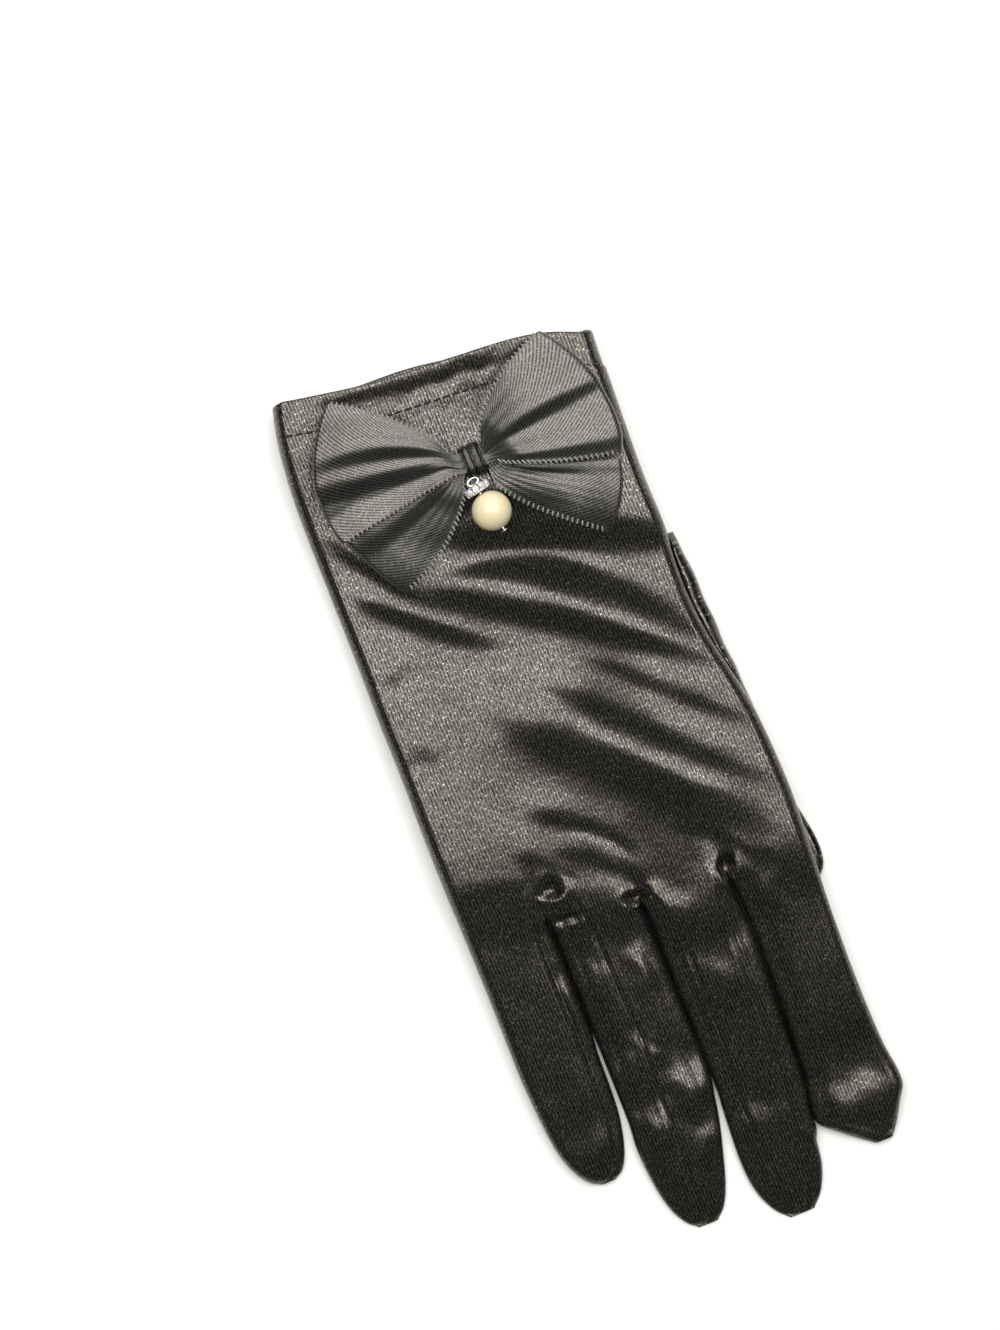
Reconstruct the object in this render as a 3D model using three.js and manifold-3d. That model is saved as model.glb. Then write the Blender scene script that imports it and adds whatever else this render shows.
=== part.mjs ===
// A wrist length dress glove of black satin, lying flat with the back of the hand up.
// It has a crossed ribbon bow at the cuff and a small drop of a bead and a stone spacer.
// Millimetres. X runs to the thumb side, Y to the cuff and Z up from the surface.
// The origin is on the resting face, under the middle of the palm.

import * as THREE from 'three';
import { mergeVertices } from 'three/addons/utils/BufferGeometryUtils.js';
import Module from 'manifold-3d';

const wasm = await Module();
wasm.setup();

const { smoothstep, lerp, degToRad } = THREE.MathUtils;

// Driving sizes of the glove
const halfWidth = 44; // half of the width across the palm, laid flat
const cuffReach = 70; // from the middle of the palm to the cuff edge
const crotchReach = 72; // from the middle of the palm to the crotch of the fingers
const palmHeight = 10.4; // top of the back over the surface, on the little finger side
const thumbLift = 2.3; // how much more the thumb side stands up
const fingerDrop = 1; // how much lower the fingers lie than the palm
const wall = 1.3; // satin and its air, one layer
const hemWall = 2; // the same cloth turned in and stitched
const hemDepth = 9.3; // from the cuff edge to the stitching
const gap = 0.3; // between pieces that touch
const foldHeight = 1.2; // the tallest fold of the back
const innerFolds = 0.6; // share of the folds that the inside of the cloth follows
const hemFolds = 0.4; // the same inside the hem

// Driving sizes of the thumb, which is folded under the palm
const thumbHeight = 3.7;
const thumbReach = 87; // from the middle of the palm to the thumb's tip
const thumbSideHeight = 8.2; // how far it comes up beside the edge of the palm
const thumbHole = { left: 0.61, right: 0.86, top: -0.02, foot: -0.45 }; // shares, as below

// How far each finger reaches from the middle of the palm
const littleReach = 136.5;
const ringReach = 156;
const middleReach = 162.5;
const indexReach = 153.2;

// Where the palm lifts over the thumb: x from its edge to full height, y towards the cuff,
// and y past the thumb's tip as a share of its reach
const thumbRamp = { edge: 0.3, full: 0.49, near: 0.16, far: 0.34, tipEnd: 1.38, tipStart: 1.03 };

const rootStub = 1.5; // how much of each finger's tube stays on the palm
const footSink = 0.6; // how far the palm sinks below the fingers at their roots
const fingerRootSink = 1.4; // how far the fingers' own ends lie below the palm's top
const tubeEdge = { palm: 0.085, finger: 0.3, thumb: 0.16, thumbSide: 0.4 }; // rounding shares

// Driving sizes of the bow
const ribbon = 1; // thickness of the ribbon
const loopOpen = 1.1; // air between the two layers of a loop
const bowReach = 35; // from the middle of the knot to the outer fold of a loop
const knotFromCuff = 25.7; // the middle of the knot, from the cuff edge
const knotPlace = { x: 2.7, y: cuffReach - knotFromCuff };
const knotWidth = 5.3;
const knotDepth = 8;
const knotBand = 0.8;
const knotRound = 1.4; // rounding of the knot's corners
const knotHold = 0.9; // share of the knot's width that both ribbons fill
const pinchShare = 0.62; // depth of the ribbon inside the knot, as a share of the knot's
const pinchOpen = 0.3; // air between the two layers inside the knot
const loopRest = 0.6; // the lower loops over the back, clear of its folds
const loopClimb = 0.9; // the upper loops over the lower ones
const loopRound = 0.5; // how far the outer fold bulges, as a share of its height

// Where a loop leaves the knot, where it has its full depth and is fully open, and how much
// its pleats flatten on the way to the outer fold, all as shares of its length
const loopRun = { neck: 0.06, deep: 0.22, open: 0.3, flatten: 0.7 };

// Driving sizes of the drop
const beadDiameter = 10;
const beadBore = 1.3;
const spacerDiameter = 7;
const spacerThickness = 2.4;
const spacerPlate = 0.45;
const stoneCount = 8;
const stoneSize = 1.9;
const pinWire = 0.7;
const pinHeadDiameter = 1.8;
const pinLoopWidth = 3.2;
const dropHang = 13.6; // the middle of the bead, from the middle of the knot
const dropPlace = { x: knotPlace.x - 0.6, y: knotPlace.y - dropHang };
const dropLean = degToRad(11); // the drop's axis, turned from the Y axis

// Places are given as shares: x of halfWidth, y of cuffReach above the middle of the palm
// and of crotchReach below it.
const across = (share) => share * halfWidth;
const along = (share) => share * (share > 0 ? cuffReach : crotchReach);

// The cuff edge and the foot of the palm, from the little finger side to the thumb side
const cuffEdge = [
  { x: -0.90, y: 1.09 },
  { x: -0.68, y: 1.061 },
  { x: -0.30, y: 1.02 },
  { x: 0.20, y: 0.993 },
  { x: 0.66, y: 0.957 },
  { x: 0.98, y: 0.881 },
];
const palmFoot = [
  { x: -1.04, y: -0.9 },
  { x: -0.56, y: -0.93 },
  { x: -0.36, y: -0.93 },
  { x: -0.14, y: -0.985 },
  { x: 0.02, y: -1.0 },
  { x: 0.25, y: -1.03 },
  { x: 0.5, y: -1.03 },
  { x: 1.02, y: -1.05 },
];

// The two side edges of the palm, from the foot to the cuff: -1 is the foot, 1 the cuff
const palmSides = [
  { at: -1, left: -1.03, right: 1.0 },
  { at: -0.8, left: -1.03, right: 1.018 },
  { at: -0.55, left: -1.023, right: 1.005 },
  { at: -0.4, left: -1.015, right: 0.968 },
  { at: -0.27, left: -1.01, right: 0.925 },
  { at: -0.12, left: -1.008, right: 0.902 },
  { at: 0.05, left: -1.0, right: 0.912 },
  { at: 0.16, left: -0.995, right: 0.927 },
  { at: 0.4, left: -0.988, right: 0.932 },
  { at: 0.65, left: -0.977, right: 0.95 },
  { at: 0.82, left: -0.95, right: 0.964 },
  { at: 0.92, left: -0.92, right: 0.97 },
  { at: 1, left: -0.885, right: 0.98 },
];

// The little, ring, middle and index finger, in this order: at is a share of the finger's
// reach and thick a share of its full height
const fingers = [
  {
    name: 'little_finger',
    reach: littleReach,
    rows: [
      { at: 0.366, left: -1.012, right: -0.585, thick: 1 },
      { at: 0.586, left: -1.032, right: -0.559, thick: 1 },
      { at: 0.769, left: -1.041, right: -0.573, thick: 1 },
      { at: 0.879, left: -1.023, right: -0.591, thick: 0.98 },
      { at: 0.93, left: -0.993, right: -0.623, thick: 0.9 },
      { at: 0.967, left: -0.95, right: -0.66, thick: 0.75 },
      { at: 0.99, left: -0.895, right: -0.705, thick: 0.55 },
      { at: 1, left: -0.845, right: -0.755, thick: 0.4 },
    ],
  },
  {
    name: 'ring_finger',
    reach: ringReach,
    rows: [
      { at: 0.32, left: -0.518, right: -0.045, thick: 1 },
      { at: 0.513, left: -0.534, right: -0.018, thick: 1 },
      { at: 0.673, left: -0.561, right: -0.03, thick: 1 },
      { at: 0.769, left: -0.564, right: -0.018, thick: 1 },
      { at: 0.85, left: -0.582, right: -0.068, thick: 0.98 },
      { at: 0.91, left: -0.566, right: -0.136, thick: 0.92 },
      { at: 0.955, left: -0.533, right: -0.19, thick: 0.8 },
      { at: 0.984, left: -0.48, right: -0.245, thick: 0.6 },
      { at: 1, left: -0.42, right: -0.305, thick: 0.4 },
    ],
  },
  {
    name: 'middle_finger',
    reach: middleReach,
    rows: [
      { at: 0.308, left: 0.03, right: 0.43, thick: 1 },
      { at: 0.492, left: -0.005, right: 0.464, thick: 1 },
      { at: 0.615, left: -0.014, right: 0.487, thick: 1 },
      { at: 0.738, left: -0.007, right: 0.466, thick: 1 },
      { at: 0.82, left: -0.043, right: 0.445, thick: 0.98 },
      { at: 0.892, left: -0.059, right: 0.4, thick: 0.94 },
      { at: 0.942, left: -0.04, right: 0.368, thick: 0.82 },
      { at: 0.978, left: 0.015, right: 0.308, thick: 0.62 },
      { at: 1, left: 0.085, right: 0.235, thick: 0.4 },
    ],
  },
  {
    name: 'index_finger',
    reach: indexReach,
    rows: [
      { at: 0.326, left: 0.55, right: 0.985, thick: 1 },
      { at: 0.522, left: 0.509, right: 0.991, thick: 1 },
      { at: 0.587, left: 0.525, right: 0.975, thick: 1 },
      { at: 0.718, left: 0.493, right: 0.957, thick: 1 },
      { at: 0.849, left: 0.464, right: 0.959, thick: 0.98 },
      { at: 0.92, left: 0.43, right: 0.977, thick: 0.86 },
      { at: 0.953, left: 0.507, right: 0.914, thick: 0.7 },
      { at: 0.979, left: 0.609, right: 0.861, thick: 0.52 },
      { at: 1, left: 0.72, right: 0.79, thick: 0.35 },
    ],
  },
];

// The thumb under the palm: at is a share of the thumb's reach, from its base to its tip
const thumbRows = [
  { at: 0.1, left: 0.84, right: 0.964, thick: 0.7 },
  { at: 0, left: 0.68, right: 0.98, thick: 1 },
  { at: -0.23, left: 0.57, right: 0.991, thick: 1 },
  { at: -0.46, left: 0.53, right: 1.012, thick: 1 },
  { at: -0.63, left: 0.515, right: 1.01, thick: 1 },
  { at: -0.76, left: 0.53, right: 1.022, thick: 1 },
  { at: -0.88, left: 0.57, right: 1.054, thick: 1 },
  { at: -0.955, left: 0.65, right: 1.036, thick: 0.85 },
  { at: -1, left: 0.78, right: 0.96, thick: 0.6 },
];

// The part of the thumb that shows beside the edge of the palm
const thumbSideRows = [
  { at: 0.13, left: 0.88, right: 0.945, thick: 0.5 },
  { at: 0.08, left: 0.84, right: 0.972, thick: 0.9 },
  { at: 0, left: 0.82, right: 0.98, thick: 1 },
  { at: -0.23, left: 0.82, right: 0.991, thick: 1 },
  { at: -0.36, left: 0.84, right: 1.003, thick: 0.9 },
  { at: -0.46, left: 0.88, right: 1.008, thick: 0.6 },
];

// Folds of the back, each a curve through three places. A rise above 0 is a ridge and
// below 0 a furrow, as a share of foldHeight. Wide is a share of halfWidth.
const folds = [
  { from: [-0.83, 0.43], through: [-0.54, 0.2], to: [-0.13, 0.01], wide: 0.05, rise: 0.8 },
  { from: [-0.42, 0.27], through: [0.24, 0.02], to: [0.89, -0.34], wide: 0.055, rise: 0.9 },
  { from: [-0.34, 0.33], through: [0.3, 0.2], to: [0.81, -0.07], wide: 0.06, rise: 1 },
  { from: [0.23, -0.16], through: [0.52, -0.3], to: [0.84, -0.41], wide: 0.055, rise: 0.7 },
  { from: [0.26, -0.29], through: [0.49, -0.41], to: [0.78, -0.58], wide: 0.055, rise: 0.6 },
  { from: [-0.23, -0.21], through: [0.24, -0.48], to: [0.71, -0.79], wide: 0.07, rise: 1 },
  { from: [-0.42, -0.56], through: [0.03, -0.68], to: [0.24, -0.9], wide: 0.08, rise: 0.7 },
  { from: [-0.33, -0.7], through: [-0.07, -0.81], to: [0.05, -0.93], wide: 0.04, rise: 0.7 },
  { from: [-0.81, -0.74], through: [-0.42, -0.82], to: [-0.18, -0.9], wide: 0.05, rise: 0.5 },
  { from: [0.36, -0.84], through: [0.53, -0.92], to: [0.63, -1.01], wide: 0.045, rise: 0.6 },
  { from: [-0.84, 0.39], through: [-0.58, 0.14], to: [-0.33, 0.02], wide: 0.06, rise: -0.6 },
  { from: [-0.6, 0.28], through: [-0.02, 0.06], to: [0.5, -0.17], wide: 0.06, rise: -0.8 },
  { from: [-0.16, 0.24], through: [0.49, 0.03], to: [0.89, -0.27], wide: 0.09, rise: -1 },
  { from: [-0.13, 0.44], through: [0.41, 0.26], to: [0.92, 0.13], wide: 0.09, rise: -0.9 },
  { from: [0.52, -0.17], through: [0.75, -0.31], to: [0.92, -0.39], wide: 0.05, rise: -0.6 },
  { from: [0, -0.27], through: [0.37, -0.46], to: [0.7, -0.64], wide: 0.07, rise: -0.7 },
  { from: [-0.36, -0.28], through: [0.07, -0.55], to: [0.68, -0.88], wide: 0.12, rise: -1.2 },
  { from: [-0.36, -0.63], through: [-0.1, -0.71], to: [0.07, -0.88], wide: 0.05, rise: -0.7 },
];

// The strips between the fingers, seen from above: the seams on either side, from the
// crotch to the tips. Down is a share of the way from the crotch to the longer finger's tip.
const strips = [
  {
    name: 'fourchette_little_ring',
    reach: ringReach,
    crotch: { x: -0.45, down: -0.166 },
    seams: [
      { down: -0.142, left: -0.54, right: -0.375 },
      { down: -0.096, left: -0.6, right: -0.345 },
      { down: -0.021, left: -0.625, right: -0.335 },
      { down: 0.22, left: -0.635, right: -0.33 },
      { down: 0.405, left: -0.64, right: -0.315 },
      { down: 0.555, left: -0.652, right: -0.342 },
      { down: 0.695, left: -0.67, right: -0.345 },
    ],
    tips: [{ x: -0.66, down: 0.735 }, { x: -0.61, down: 0.705 }, { x: -0.6, down: 0.74 }],
    far: [{ x: -0.57, down: 0.94 }, { x: -0.4, down: 0.905 }],
  },
  {
    name: 'fourchette_ring_middle',
    reach: middleReach,
    crotch: { x: -0.02, down: -0.05 },
    seams: [
      { down: -0.023, left: -0.08, right: 0.045 },
      { down: 0.066, left: -0.105, right: 0.085 },
      { down: 0.246, left: -0.11, right: 0.12 },
      { down: 0.425, left: -0.11, right: 0.11 },
      { down: 0.57, left: -0.13, right: 0.08 },
      { down: 0.73, left: -0.2, right: 0.07 },
    ],
    tips: [{ x: -0.27, down: 0.875 }, { x: -0.2, down: 0.883 }, { x: -0.08, down: 0.767 }],
    far: [{ x: -0.03, down: 0.919 }, { x: 0.05, down: 0.919 }],
  },
  {
    name: 'fourchette_middle_index',
    reach: middleReach,
    crotch: { x: 0.49, down: -0.023 },
    seams: [
      { down: 0.003, left: 0.44, right: 0.54 },
      { down: 0.066, left: 0.4, right: 0.575 },
      { down: 0.246, left: 0.386, right: 0.59 },
      { down: 0.425, left: 0.378, right: 0.565 },
      { down: 0.587, left: 0.372, right: 0.545 },
      { down: 0.73, left: 0.35, right: 0.52 },
    ],
    tips: [{ x: 0.27, down: 0.92 }, { x: 0.36, down: 0.91 }, { x: 0.41, down: 0.785 }],
    far: [{ x: 0.46, down: 0.81 }, { x: 0.53, down: 0.795 }],
  },
];

// The four loops of the bow. Each has a lower and an upper edge through three places, from
// the knot to the outer fold, as shares of bowReach from the middle of the knot. Bulge is
// another such share. A pleat runs along the loop, at a share of the way across it.
const bowLoops = [
  {
    node: 'bow_lower_ribbon',
    side: -1,
    lower: [[-0.055, -0.058], [-0.363, -0.446], [-0.79, -0.686]],
    upper: [[-0.055, 0.02], [-0.58, -0.006], [-1.077, -0.008]],
    bulge: 0.038,
    pleats: [{ at: 0.55, wide: 0.2, rise: 0.5 }],
  },
  {
    node: 'bow_lower_ribbon',
    side: 1,
    lower: [[0.055, -0.094], [0.208, -0.404], [0.695, -0.838]],
    upper: [[0.055, -0.026], [0.495, -0.206], [0.966, -0.346]],
    bulge: 0.038,
    pleats: [{ at: 0.5, wide: 0.25, rise: 0.4 }],
  },
  {
    node: 'bow_upper_ribbon',
    side: -1,
    lower: [[-0.055, -0.038], [-0.477, -0.102], [-1.058, -0.2]],
    upper: [[-0.055, 0.04], [-0.42, 0.476], [-0.79, 0.748]],
    bulge: 0.145,
    pleats: [
      { at: 0.28, wide: 0.12, rise: -0.9 },
      { at: 0.48, wide: 0.1, rise: 0.9 },
      { at: 0.66, wide: 0.12, rise: -0.9 },
    ],
  },
  {
    node: 'bow_upper_ribbon',
    side: 1,
    lower: [[0.055, -0.038], [0.495, -0.238], [0.96, -0.352]],
    upper: [[0.055, 0.04], [0.286, 0.362], [0.751, 0.648]],
    bulge: 0.126,
    pleats: [
      { at: 0.2, wide: 0.12, rise: -0.9 },
      { at: 0.42, wide: 0.16, rise: 0.8 },
      { at: 0.66, wide: 0.1, rise: -0.9 },
    ],
  },
];

// Smooth value of a column between the rows of a table, by the column that orders it
function readTable(rows, key, place, column) {
  const rising = rows[0][key] < rows[rows.length - 1][key];
  const list = rising ? rows : [...rows].reverse();
  const last = list.length - 1;
  const spot = Math.min(Math.max(place, list[0][key]), list[last][key]);
  let i = 0;
  while (i < last - 1 && spot > list[i + 1][key]) i += 1;
  const slope = (a, b) => (list[b][column] - list[a][column]) / (list[b][key] - list[a][key]);
  const step = list[i + 1][key] - list[i][key];
  const t = (spot - list[i][key]) / step;
  const m0 = slope(Math.max(i - 1, 0), i + 1) * step;
  const m1 = slope(i, Math.min(i + 2, last)) * step;
  const p0 = list[i][column];
  const p1 = list[i + 1][column];
  return p0 + t * m0 + t * t * (3 * (p1 - p0) - 2 * m0 - m1) + t ** 3 * (2 * (p0 - p1) + m0 + m1);
}

// A curve through three places, each given by two shares that placeOf turns into lengths
const onHand = ([x, y]) => new THREE.Vector2(across(x), along(y));
const fromKnot = ([x, y]) => new THREE.Vector2(
  knotPlace.x + x * bowReach,
  knotPlace.y + y * bowReach,
);

function curveThrough(places, placeOf) {
  const [a, m, b] = places.map(placeOf);
  const control = m.clone().multiplyScalar(2).addScaledVector(a, -0.5).addScaledVector(b, -0.5);
  return new THREE.QuadraticBezierCurve(a, control, b);
}

// Height of the folds over the smooth back
const foldSteps = 12;
const foldCurves = folds.map((fold) => ({
  points: curveThrough([fold.from, fold.through, fold.to], onHand).getPoints(foldSteps),
  wide: across(fold.wide),
  rise: fold.rise * foldHeight,
}));

function foldsAt(x, y) {
  let sum = 0;
  for (const { points, wide, rise } of foldCurves) {
    let nearest = Infinity;
    let share = 0;
    points.forEach((point, i) => {
      if (i === foldSteps) return;
      const next = points[i + 1];
      const dx = next.x - point.x;
      const dy = next.y - point.y;
      const raw = ((x - point.x) * dx + (y - point.y) * dy) / (dx * dx + dy * dy);
      const t = Math.min(1, Math.max(0, raw));
      const distance = Math.hypot(x - point.x - t * dx, y - point.y - t * dy);
      if (distance < nearest) {
        nearest = distance;
        share = (i + t) / foldSteps;
      }
    });
    const taper = Math.min(1, 0.25 + 3 * share, 0.25 + 3 * (1 - share));
    sum += rise * taper * Math.exp(-((nearest / wide) ** 2));
  }
  return sum;
}

// The underside: on the surface, and lifted over the thumb
const thumbSeat = thumbHeight + gap;

function floorAt(x, y) {
  const { edge, full, near, far, tipEnd, tipStart } = thumbRamp;
  const sideways = smoothstep(x, across(edge), across(full));
  const aboveThumb = 1 - smoothstep(y, along(near), along(far));
  const belowThumb = smoothstep(y, -thumbReach * tipEnd, -thumbReach * tipStart);
  return thumbSeat * sideways * aboveThumb * belowThumb;
}

// The top of the back, without and with its folds
function smoothTopAt(x, y) {
  const drop = fingerDrop * (1 - smoothstep(y, -crotchReach * 1.35, -crotchReach * 0.9));
  const lift = thumbLift * smoothstep(x, across(0.05), across(0.5));
  const tip = 1 - 0.6 * (1 - smoothstep(y, -indexReach, -indexReach * 0.7));
  const roundness = 0.5 * (x / halfWidth) ** 2;
  return palmHeight - drop + lift * tip - roundness * smoothstep(-x, -halfWidth, halfWidth);
}

function topAt(x, y) {
  return smoothTopAt(x, y) + foldsAt(x, y);
}

// A closed mesh from a grid of rings, with a fan over each end
function loftRings(rings) {
  const count = rings[0].length;
  const positions = [];
  const triangles = [];
  rings.forEach((ring) => ring.forEach((p) => positions.push(p.x, p.y, p.z)));
  for (let r = 0; r < rings.length - 1; r += 1) {
    for (let i = 0; i < count; i += 1) {
      const a = r * count + i;
      const b = r * count + ((i + 1) % count);
      triangles.push(a, b, a + count, b, b + count, a + count);
    }
  }
  [[0, 1], [rings.length - 1, 0]].forEach(([r, flip]) => {
    const centre = positions.length / 3;
    const middle = rings[r].reduce((sum, p) => sum.add(p), new THREE.Vector3());
    middle.divideScalar(count);
    positions.push(middle.x, middle.y, middle.z);
    for (let i = 0; i < count; i += 1) {
      const a = r * count + i;
      const b = r * count + ((i + 1) % count);
      triangles.push(...(flip ? [centre, b, a] : [centre, a, b]));
    }
  });
  return makeSolid(positions, triangles);
}

function makeSolid(positions, triangles) {
  const vertProperties = new Float32Array(positions);
  let triVerts = new Uint32Array(triangles);
  let body = new wasm.Manifold(new wasm.Mesh({ numProp: 3, vertProperties, triVerts }));
  if (body.volume() < 0) {
    triVerts = triVerts.map((_, i) => triVerts[i - (i % 3) + (2 - (i % 3))]);
    body = new wasm.Manifold(new wasm.Mesh({ numProp: 3, vertProperties, triVerts }));
  }
  return body;
}

function solidFromGeometry(geometry) {
  const plain = geometry.clone();
  plain.deleteAttribute('normal');
  plain.deleteAttribute('uv');
  const merged = mergeVertices(plain, 1e-4);
  return makeSolid(merged.attributes.position.array, merged.index.array);
}

// The places round a flat section: u runs across from -1 to 1, v from -1 below to 1 above
function flatSection(edge, arcSteps, topSteps, bottomSteps) {
  const places = [];
  for (let i = 0; i < arcSteps; i += 1) {
    const angle = lerp(-Math.PI / 2, Math.PI / 2, i / arcSteps);
    places.push({ u: 1 - edge + edge * Math.cos(angle), v: Math.sin(angle) });
  }
  for (let i = 0; i < topSteps; i += 1) {
    places.push({ u: lerp(1 - edge, edge - 1, i / topSteps), v: 1 });
  }
  for (let i = 0; i < arcSteps; i += 1) {
    const angle = lerp(Math.PI / 2, Math.PI * 1.5, i / arcSteps);
    places.push({ u: edge - 1 + edge * Math.cos(angle), v: Math.sin(angle) });
  }
  for (let i = 0; i < bottomSteps; i += 1) {
    places.push({ u: lerp(edge - 1, 1 - edge, i / bottomSteps), v: -1 });
  }
  return places;
}

// One ring of a flat tube, its faces set in by inset from the outer ones
function flatRing(places, { left, right, yAt, floor, top, thick = 1, inset }) {
  return places.map(({ u, v }) => {
    const x = lerp(left + inset, right - inset, (u + 1) / 2);
    const y = yAt(x);
    const low = floor(x, y) + inset;
    const high = lerp(low, top(x, y) - inset, thick);
    return new THREE.Vector3(x, y, lerp(low, high, (v + 1) / 2));
  });
}

// The palm, from its foot to the cuff, and a little past the cuff where past is given
function palmBody({ inset, places, steps, foldShare, past = 0, footInset = inset }) {
  const top = (x, y) => smoothTopAt(x, y) + foldShare * foldsAt(x, y);
  const rings = [];
  for (let i = 0; i <= steps; i += 1) {
    const at = lerp(-1, 1, i / steps);
    const left = across(readTable(palmSides, 'at', at, 'left'));
    const right = across(readTable(palmSides, 'at', at, 'right'));
    const yAt = (x) => {
      const foot = along(readTable(palmFoot, 'x', x / halfWidth, 'y'));
      const cuff = along(readTable(cuffEdge, 'x', x / halfWidth, 'y'));
      return at < 0 ? -at * (foot + footInset) : at * (cuff + past);
    };
    const sink = footSink * smoothstep(-at, 0.75, 1);
    const lowered = (x, y) => top(x, y) - sink;
    rings.push(flatRing(places, { left, right, yAt, floor: floorAt, top: lowered, inset }));
  }
  return loftRings(rings);
}

function fingerBody(finger, { inset, places, steps, foldShare }) {
  const { reach, rows } = finger;
  const first = rows[0].at;
  const rings = [];
  for (let i = 0; i <= steps; i += 1) {
    const at = lerp(first, 1, 1 - (1 - i / steps) ** 1.5);
    const y = -at * (reach - inset);
    const left = across(readTable(rows, 'at', at, 'left'));
    const right = across(readTable(rows, 'at', at, 'right'));
    const thick = readTable(rows, 'at', at, 'thick');
    const sink = fingerRootSink * smoothstep(y, -crotchReach * 0.86, -crotchReach * 0.7);
    const top = (x, yy) => smoothTopAt(x, yy) + foldShare * foldsAt(x, yy) - sink;
    const shape = { left, right, yAt: () => y, floor: floorAt, top, thick, inset };
    rings.push(flatRing(places, shape));
  }
  return loftRings(rings);
}

function thumbBody(rows, height, { inset, places, steps }) {
  const [first, last] = [rows[0].at, rows[rows.length - 1].at];
  const rings = [];
  for (let i = 0; i <= steps; i += 1) {
    const at = lerp(first, last, i / steps);
    const span = thumbReach - inset;
    const left = across(readTable(rows, 'at', at, 'left'));
    const right = across(readTable(rows, 'at', at, 'right'));
    const thick = readTable(rows, 'at', at, 'thick');
    rings.push(flatRing(places, {
      left, right, yAt: () => at * span, floor: () => 0, top: () => height, thick, inset,
    }));
  }
  return loftRings(rings);
}

// A prism from an outline seen from above, through the whole height where none is given
function zoneBody(points, low = -palmHeight, high = palmHeight * 4) {
  const shape = new THREE.Shape(points.map(([x, y]) => new THREE.Vector2(x, y)));
  const geometry = new THREE.ExtrudeGeometry(shape, { depth: high - low, bevelEnabled: false });
  geometry.translate(0, 0, low);
  return solidFromGeometry(geometry);
}

// The outline of a strip between two fingers, grown sideways by margin
function stripOutline(strip, margin) {
  const y = (down) => -lerp(crotchReach, strip.reach, down);
  const { crotch, seams, tips, far } = strip;
  const away = seams.map((row) => [across(row.left) - margin, y(row.down)]);
  const back = seams.map((row) => [across(row.right) + margin, y(row.down)]).reverse();
  const tipPoint = (p, dx, dy) => [across(p.x) + dx * margin, y(p.down) + dy * margin];
  return [
    [across(crotch.x), y(crotch.down) + margin],
    ...away,
    tipPoint(tips[0], -1, -1),
    tipPoint(tips[1], 0, -1),
    tipPoint(tips[2], 0, -1),
    tipPoint(far[0], 0, -1),
    tipPoint(far[1], 1, -1),
    ...back,
  ];
}

// The region beyond an edge of the palm moved by shift, out to a far line
const zoneBeside = 1.2; // wider than the palm

function zoneBeyond(edge, shift, steps, far) {
  const line = [];
  for (let i = 0; i <= steps; i += 1) {
    const x = lerp(-zoneBeside, zoneBeside, i / steps);
    line.push([across(x), along(readTable(edge, 'x', x, 'y')) + shift]);
  }
  return zoneBody([...line, [across(zoneBeside), far], [across(-zoneBeside), far]]);
}

// The hem is everything past the stitching, and the fingers everything past their roots
const hemZone = (shift) => zoneBeyond(cuffEdge, shift - hemDepth, 12, cuffReach * 1.4);
const fingerZone = (shift) => zoneBeyond(palmFoot, shift - rootStub, 12, -middleReach * 1.4);

// Hand shell: the palm and fingers, hollow and open at the cuff
const outerPlaces = flatSection(tubeEdge.palm, 3, 16, 3);
const innerPlaces = flatSection(tubeEdge.palm, 2, 10, 3);
const fingerOuterPlaces = flatSection(tubeEdge.finger, 3, 3, 2);
const fingerInnerPlaces = flatSection(tubeEdge.finger, 2, 2, 1);
const fingerOutside = { inset: 0, places: fingerOuterPlaces, steps: 10, foldShare: 1 };

function handBody(settings) {
  let body = palmBody(settings.palm);
  fingers.forEach((finger) => {
    body = body.add(fingerBody(finger, settings.finger));
  });
  return body;
}

const handOuter = handBody({
  palm: { inset: 0, places: outerPlaces, steps: 28, foldShare: 1 },
  finger: fingerOutside,
});
const pastCuff = hemDepth / 2; // the hollow runs on past the cuff edge, so that it is open
const handInner = handBody({
  palm: { inset: wall, places: innerPlaces, steps: 18, foldShare: innerFolds, past: pastCuff },
  finger: { inset: wall, places: fingerInnerPlaces, steps: 7, foldShare: innerFolds },
});
const hemInner = palmBody({
  inset: hemWall, places: innerPlaces, steps: 14, foldShare: hemFolds, past: pastCuff,
});
const palmGrown = palmBody({
  inset: -gap, places: outerPlaces, steps: 24, foldShare: 1, past: gap,
});

// The thumb hole, an oval seen from above, through the palm's underside into the thumb
function thumbHoleBody() {
  const { left, right, top, foot } = thumbHole;
  const centre = [across((left + right) / 2), along((top + foot) / 2)];
  const radii = [across(right - left) / 2, Math.abs(along(foot) - along(top)) / 2];
  const sides = 16;
  const outline = Array.from({ length: sides }, (_, i) => {
    const angle = (2 * Math.PI * i) / sides;
    return [centre[0] + radii[0] * Math.cos(angle), centre[1] + radii[1] * Math.sin(angle)];
  });
  return zoneBody(outline, thumbHeight / 2, thumbSeat + wall * 2);
}

const thumbOpening = thumbHoleBody();
const handShell = handOuter.subtract(handInner).subtract(thumbOpening);

// What is left of a body between the strips
function withoutStrips(body) {
  return strips.reduce((rest, strip) => (
    rest.subtract(zoneBody(stripOutline(strip, gap)))
  ), body);
}

function buildTrank() {
  return withoutStrips(handShell.subtract(hemZone(-gap)).subtract(fingerZone(0)));
}

function buildFinger(finger) {
  const tube = fingerBody(finger, fingerOutside).subtract(handInner);
  return withoutStrips(tube.intersect(fingerZone(-gap)));
}

function buildStrip(strip) {
  return handShell.intersect(zoneBody(stripOutline(strip, 0)));
}

function buildHem() {
  return handOuter.subtract(hemInner).intersect(hemZone(0));
}

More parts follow.
